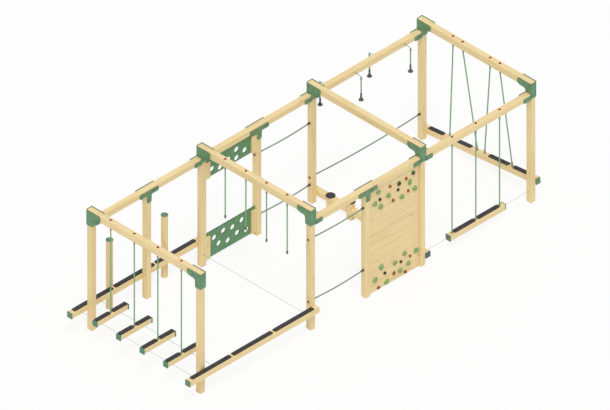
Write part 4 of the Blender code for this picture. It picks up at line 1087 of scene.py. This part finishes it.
# Perforated panels of the middle bay: 19 mm boards of solid-coloured plastic, drilled and rounded over, screwed to a
# wooden cleat on each post. The lower one stands near the ground and the upper one hangs under the long beam.
PANEL_THICKNESS, PANEL_SET_BACK, PANEL_ROUND, HOLE_RADIUS = 0.019, 0.044, 0.0028, 0.0480
CLEAT_WIDTH, CLEAT_DROP, CLEAT_RISE, CLEAT_FACE, SCREW_SHARES = 0.095, 0.050, 0.010, 0.006, (0.18, 0.5, 0.82)
PANEL_GREEN, PANEL_SHADE, PANEL_PAINTED_SHADE = (0.120, 0.292, 0.136), (0.096, 0.246, 0.110), (0.036, 0.085, 0.044)
LOWER_HEIGHT, UPPER_HEIGHT = 0.475, 0.374
LOWER_HOLES = [(0.018 + (number - 3.5) * 0.100, (0.319, 0.164, 0.354, 0.119)[number % 4]) for number in range(8)]
UPPER_HOLES = [
    (-0.025 + (number - 2) * 0.178, UPPER_HEIGHT - down)
    for number in range(5)
    for down in ((0.154, 0.313) if number % 2 else (0.254,))
]
PANELS = (
    ("lower_panel", 0.070, LOWER_HEIGHT, LOWER_HOLES),
    ("upper_panel", LONG_LOW - GAP - UPPER_HEIGHT, UPPER_HEIGHT, UPPER_HOLES),
)
# The darkest panel green is painted shade: on the rounded edges, inside the holes, and on faces that look upward.
PANEL_PLASTIC = powder_coat("panel_plastic", PANEL_GREEN, PANEL_SHADE, PANEL_PAINTED_SHADE, 0.48)


def drilled(width, height, holes):
    """An upright board in X and Z, from its lower middle, with round holes and eased edges."""
    blank = bmesh.new()
    bmesh.ops.create_cube(blank, size=1)
    bmesh.ops.scale(blank, vec=(width, PANEL_THICKNESS, height), verts=blank.verts)
    bmesh.ops.translate(blank, vec=(0, 0, height / 2), verts=blank.verts)
    board, drills = shaped("board", blank), []
    for across, up in holes:
        bit = lathe([(HOLE_RADIUS, 0.05), (HOLE_RADIUS, -0.05)], 40)
        bit.transform(facing((0, 1, 0), (across, 0, up)) @ Matrix.Rotation(0.05, 4, "Z"))
        drills.append(shaped("drill", bit))
        hole = board.modifiers.new("hole", "BOOLEAN")
        hole.operation, hole.solver, hole.object = "DIFFERENCE", "EXACT", drills[-1]
    eased = board.modifiers.new("eased", "BEVEL")
    eased.width, eased.segments, eased.limit_method, eased.angle_limit = PANEL_ROUND, 2, "ANGLE", math.radians(50)
    shape = bmesh.new()
    shape.from_mesh(board.evaluated_get(bpy.context.evaluated_depsgraph_get()).to_mesh())
    for old in (board, *drills):
        bpy.data.objects.remove(old, do_unlink=True)
    return shape


panel_x = STATION["b"] + (STATION["c"] - STATION["b"]) / 4
panel_y = ROW["back"] - HALF + PANEL_SET_BACK
panel_half = (STATION["c"] - STATION["b"]) / 4 - HALF - GAP
for name, foot, height, holes in PANELS:
    at = Matrix.Translation((panel_x, panel_y + PANEL_THICKNESS / 2, foot))
    piece(f"board_{name}", drilled(2 * panel_half, height, holes), PANEL_PLASTIC, "frame", at, "panel_green", [name])
    screws = []
    for side, word in ((-1, "left"), (1, "right")):
        left, right = sorted((panel_x + side * panel_half, panel_x + side * (panel_half - CLEAT_WIDTH)))
        low = (left, ROW["back"] - HALF + CLEAT_FACE, foot + CLEAT_RISE)
        high = (right, panel_y + 0.001, foot + height - CLEAT_DROP)
        squared_timber(f"cleat_{name}_{word}", low, high, 2, edge=0.003)
        for share in SCREW_SHARES:
            spot = ((left + right) / 2, panel_y + PANEL_THICKNESS, foot + share * height)
            screws.append(coach_bolt((0, 1, 0), spot, 0.6))
    piece(f"screws_{name}", gathered(screws), ZINC, "frame")


# The climbing wall of the middle bay: thirteen pine boards between two posts, chamfered so that a vee shows at each
# joint, and screwed to a batten beside each post.
WALL_BOARDS, WALL_THICKNESS, WALL_SET_BACK, WALL_FOOT = 13, 0.040, 0.035, 0.004
BOARD_CHAMFER, BOARD_GAP, BATTEN_WIDTH, BATTEN_THICKNESS, BATTEN_SHORT = 0.0060, 0.0004, 0.060, 0.022, 0.03
wall_left, wall_right = MID_BC + HALF + GAP, STATION["c"] - HALF - GAP
wall_front, wall_top = ROW["front"] - HALF + WALL_SET_BACK, LONG_LOW - GAP
wall_back, wall_long = wall_front + WALL_THICKNESS, wall_right - wall_left
board_height = (wall_top - WALL_FOOT) / WALL_BOARDS
for number in range(WALL_BOARDS):
    low = WALL_FOOT + number * board_height
    place = along_axis(0, ((wall_left + wall_right) / 2, wall_front + WALL_THICKNESS / 2, low + board_height / 2))
    half = Vector((wall_long / 2, WALL_THICKNESS / 2, board_height / 2 - BOARD_GAP))
    board = block(-half, half, BOARD_CHAMFER, 2)
    piece(f"wall_board_{number + 1}", board, PLANED_PINE, "frame", place, "planed_pine", ["climbing_wall"])
for word, x in (("left", wall_left), ("right", wall_right - BATTEN_WIDTH)):
    high = (x + BATTEN_WIDTH, wall_back + BATTEN_THICKNESS, wall_top - BATTEN_SHORT)
    squared_timber(f"wall_batten_{word}", (x, wall_back, BATTEN_SHORT), high, 2, edge=0.003)


# Climbing holds: cast resin, coarse as sandstone, in four colours. Each has its own lumpy form, flat at the back, and a
# bolt sunk in the middle of its front. Their places are in boards up the wall and in shares of its width.
HOLD_DEPTH, HOLD_LARGE, HOLD_MIDDLE, HOLD_SMALL, SOCKET_SHARE = 0.038, 0.044, 0.040, 0.0275, 0.68
HOLDS = {
    "leaf": (
        (11.20, 0.81), (10.08, 0.91), (12.19, 0.19), (11.05, 0.39), (9.96, 0.655), (11.00, 0.12), (10.26, 0.235),
        (2.22, 0.935), (2.66, 0.71), (2.15, 0.515), (1.18, 0.78), (2.66, 0.245), (0.86, 0.62), (1.51, 0.12),
        (0.44, 0.35),
    ),
    "pine_green": ((11.78, 0.60), (12.10, 0.880)),
    "red": (
        (11.90, 0.74), (12.09, 0.42), (10.24, 0.78), (10.12, 0.48), (1.94, 0.815), (0.33, 0.72), (0.97, 0.495),
        (0.26, 0.19),
    ),
    "black": ((11.07, 0.58), (11.19, 0.22), (1.87, 0.635), (1.63, 0.315)),
}
HOLD_LOOKS = {
    "leaf": (HOLD_LARGE, (0.270, 0.430, 0.165), (0.190, 0.335, 0.110)),
    "pine_green": (HOLD_MIDDLE, (0.045, 0.105, 0.045), (0.026, 0.066, 0.028)),
    "red": (HOLD_SMALL, (0.380, 0.068, 0.036), (0.260, 0.044, 0.026)),
    "black": (HOLD_SMALL, (0.032, 0.016, 0.008), (0.018, 0.009, 0.005)),
}
SOCKET = [(0, 0.004), (0.0035, 0.004), (0.0045, 0.007), (0.0075, 0.007), (0.0085, 0.006), (0.0085, -0.004), (0, -0.004)]


def resin(name, colour, shade):
    """Cast resin with sand in it."""
    finish, tree, coords = finish_named(name)
    sand = clouds(tree, coords["Object"], 380.0, 3.0, 0.7)
    chalk = clouds(tree, coords["Object"], 14.0, 3.0)
    look = ramp(tree, chalk, [(0.3, shade), (0.65, colour)])
    look = overlaid(tree, look, shade, sand, [(0.38, 0.5), (0.52, 0.0)])
    return dressed(finish, look, chalk, [(0.3, 0.78), (0.7, 0.6)], 0.0012, sand)


def hold_depth(size):
    return HOLD_DEPTH * (size / HOLD_LARGE) ** 0.5


def hold_form(seed, size):
    """A lumpy half-round hold whose front faces -Y and whose flat back lies on Y 0."""
    chance = random.Random(seed)
    shape = bmesh.new()
    bmesh.ops.create_icosphere(shape, subdivisions=4, radius=1)
    stretch = chance.uniform(0.82, 1.12)
    turn = Matrix.Rotation(chance.uniform(0, math.pi), 3, "Y")
    offset = Vector((seed * 3.7, seed * 1.3, seed * 2.1))
    for vertex in shape.verts:
        way = vertex.co.copy()
        lump = 1 + 0.20 * noise.noise(way * 1.1 + offset) + 0.07 * noise.noise(way * 3.1 + offset)
        spot = turn @ Vector((way.x * size * stretch, 0, way.z * size / stretch)) * lump
        spot.y = way.y * hold_depth(size) * lump if way.y < 0 else 0.004 * way.y
        dimple = max(0.0, 1 - math.hypot(way.x, way.z) / 0.24)
        if way.y < 0:
            spot.y += min(0.010, 0.04 * dimple)
        vertex.co = spot
    return shape


sockets = []
for colour, places in HOLDS.items():
    size, *tones = HOLD_LOOKS[colour]
    look, forms = resin(f"{colour}_resin", *tones), []
    for number, (boards, share) in enumerate(places):
        seed = number + 31 * len(colour)
        spot = Vector((wall_left + share * wall_long, wall_front, WALL_FOOT + boards * board_height))
        forms.append((hold_form(seed, size * random.Random(seed + 5).uniform(0.90, 1.08)), Matrix.Translation(spot)))
        spot.y -= SOCKET_SHARE * hold_depth(size)
        sockets.append((lathe(SOCKET, 14), facing((0, -1, 0), spot)))
    piece(f"holds_{colour}", gathered(forms), look, "frame", slot="grip_green", smooth=80)
piece("hold_bolts", gathered(sockets), ZINC, "frame")


# Bolt caps: small domed caps of red-brown plastic over the nuts of the eye bolts, on top of the beams, and over the
# bolts of the hand ropes on the posts.
CAP_DOME, CAP_RISE = 0.0215, 0.015
CAP_RED = resin("red_brown_caps", (0.290, 0.036, 0.028), (0.190, 0.026, 0.020))
tops = [(STATION["a"], y, CROSS_HIGH) for y in step_y]
tops += [(STATION["b"], y, CROSS_HIGH) for y in free_y]
tops += [(STATION["d"], MIDDLE + y, CROSS_HIGH) for y in CLIMB_TOPS]
tops += [(swing.x + place, ROW["front"], LONG_HIGH) for place in SWING_ROPES]
spots = [((0, 0, 1), top) for top in tops]
for name, first, last, row, up, sag in SIDE_ROPES:
    spots.append(((-1, 0, 0), (first - HALF, ROW[row], up)))
    if last != STATION["d"]:
        spots.append(((1, 0, 0), (last + HALF, ROW[row], up)))
caps = [(lathe([*dome(CAP_DOME, CAP_RISE), (CAP_DOME, -0.001)], 20), facing(way, place)) for way, place in spots]
piece("bolt_caps", gathered(caps), CAP_RED, "frame", smooth=60)


# The studio: a pale floor and an even, soft light from above and from the left. The camera looks along the diagonal, as
# a parallel drawing view does.
PIXELS_WIDE, PIXELS_HIGH, PIXELS_A_METRE = 610, 410, 64.9
ANCHOR_ACROSS, ANCHOR_DOWN = 200.45, 394.3
SUN_DIRECTION = Vector((0.13, 0.15, -0.38))
SUN_STRENGTH, SUN_ANGLE, SKY_STRENGTH = 1.38, math.radians(25), 0.64
FLOOR_SHADOW, FLOOR_REACH, CAMERA_BACK = 0.15, 60, 15


def seen_white(tree):
    """One for rays that show the background itself, straight on, in a reflection or through a piece."""
    path = node(tree, "LightPath").outputs
    seen = maths(tree, "Math", "MAXIMUM", path["Is Camera Ray"], path["Is Glossy Ray"])
    return maths(tree, "Math", "MAXIMUM", seen, path["Is Transmission Ray"])


floor_look = bpy.data.materials.new("pale_floor")
floor_look.use_nodes = True
tree = floor_look.node_tree
tree.nodes.clear()
paint = node(tree, "BsdfDiffuse", {"Color": (0.90, 0.90, 0.90, 1)})
lit = node(tree, "Emission", {"Color": (1, 1, 1, 1), "Strength": 1.0})
share = maths(tree, "Math", "MULTIPLY", seen_white(tree), 1 - FLOOR_SHADOW)
both = node(tree, "MixShader", {0: share, 1: paint.outputs[0], 2: lit.outputs[0]})
node(tree, "OutputMaterial", {"Surface": both.outputs[0]})
sheet = bmesh.new()
bmesh.ops.create_grid(sheet, x_segments=1, y_segments=1, size=FLOOR_REACH)
floor = shaped("studio_floor", sheet, floor_look)
floor.location.z = -0.0005
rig.stage(floor)

world = bpy.data.worlds.new("studio")
bpy.context.scene.world = world
world.use_nodes = True
tree = world.node_tree
tree.nodes.clear()
strength = node(tree, "MapRange", {"Value": seen_white(tree), "To Min": SKY_STRENGTH, "To Max": 1.0}).outputs[0]
sky = node(tree, "Background", {"Color": (1, 1, 1, 1), "Strength": strength})
node(tree, "OutputWorld", {"Surface": sky.outputs[0]})

sun = bpy.data.lights.new("soft_sun", "SUN")
sun.energy, sun.angle = SUN_STRENGTH, SUN_ANGLE
placed("soft_sun", sun).matrix_world = SUN_DIRECTION.to_track_quat("-Z", "Y").to_matrix().to_4x4()

camera = bpy.data.cameras.new("drawing_view")
camera.type, camera.ortho_scale, camera.clip_end = "ORTHO", PIXELS_WIDE / PIXELS_A_METRE, 60
look_way, right, up = Vector((1, 1, -1)).normalized(), Vector((1, -1, 0)).normalized(), Vector((1, 1, 2)).normalized()
centre = Vector((STATION["a"] - HALF, ROW["front"] - HALF, 0))
centre += right * ((PIXELS_WIDE / 2 - ANCHOR_ACROSS) / PIXELS_A_METRE)
centre += up * ((ANCHOR_DOWN - PIXELS_HIGH / 2) / PIXELS_A_METRE)
viewer = placed("drawing_view", camera)
facing_frame = Matrix((right, up, -look_way)).transposed().to_4x4()
viewer.matrix_world = Matrix.Translation(centre - look_way * CAMERA_BACK) @ facing_frame
bpy.context.scene.camera = viewer
bpy.context.scene.view_settings.view_transform = "Standard"

visual_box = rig.bounds()
with open("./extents.json", "w") as file:
    json.dump({"cad": [list(corner) for corner in cad_box], "visual": [list(corner) for corner in visual_box]}, file)
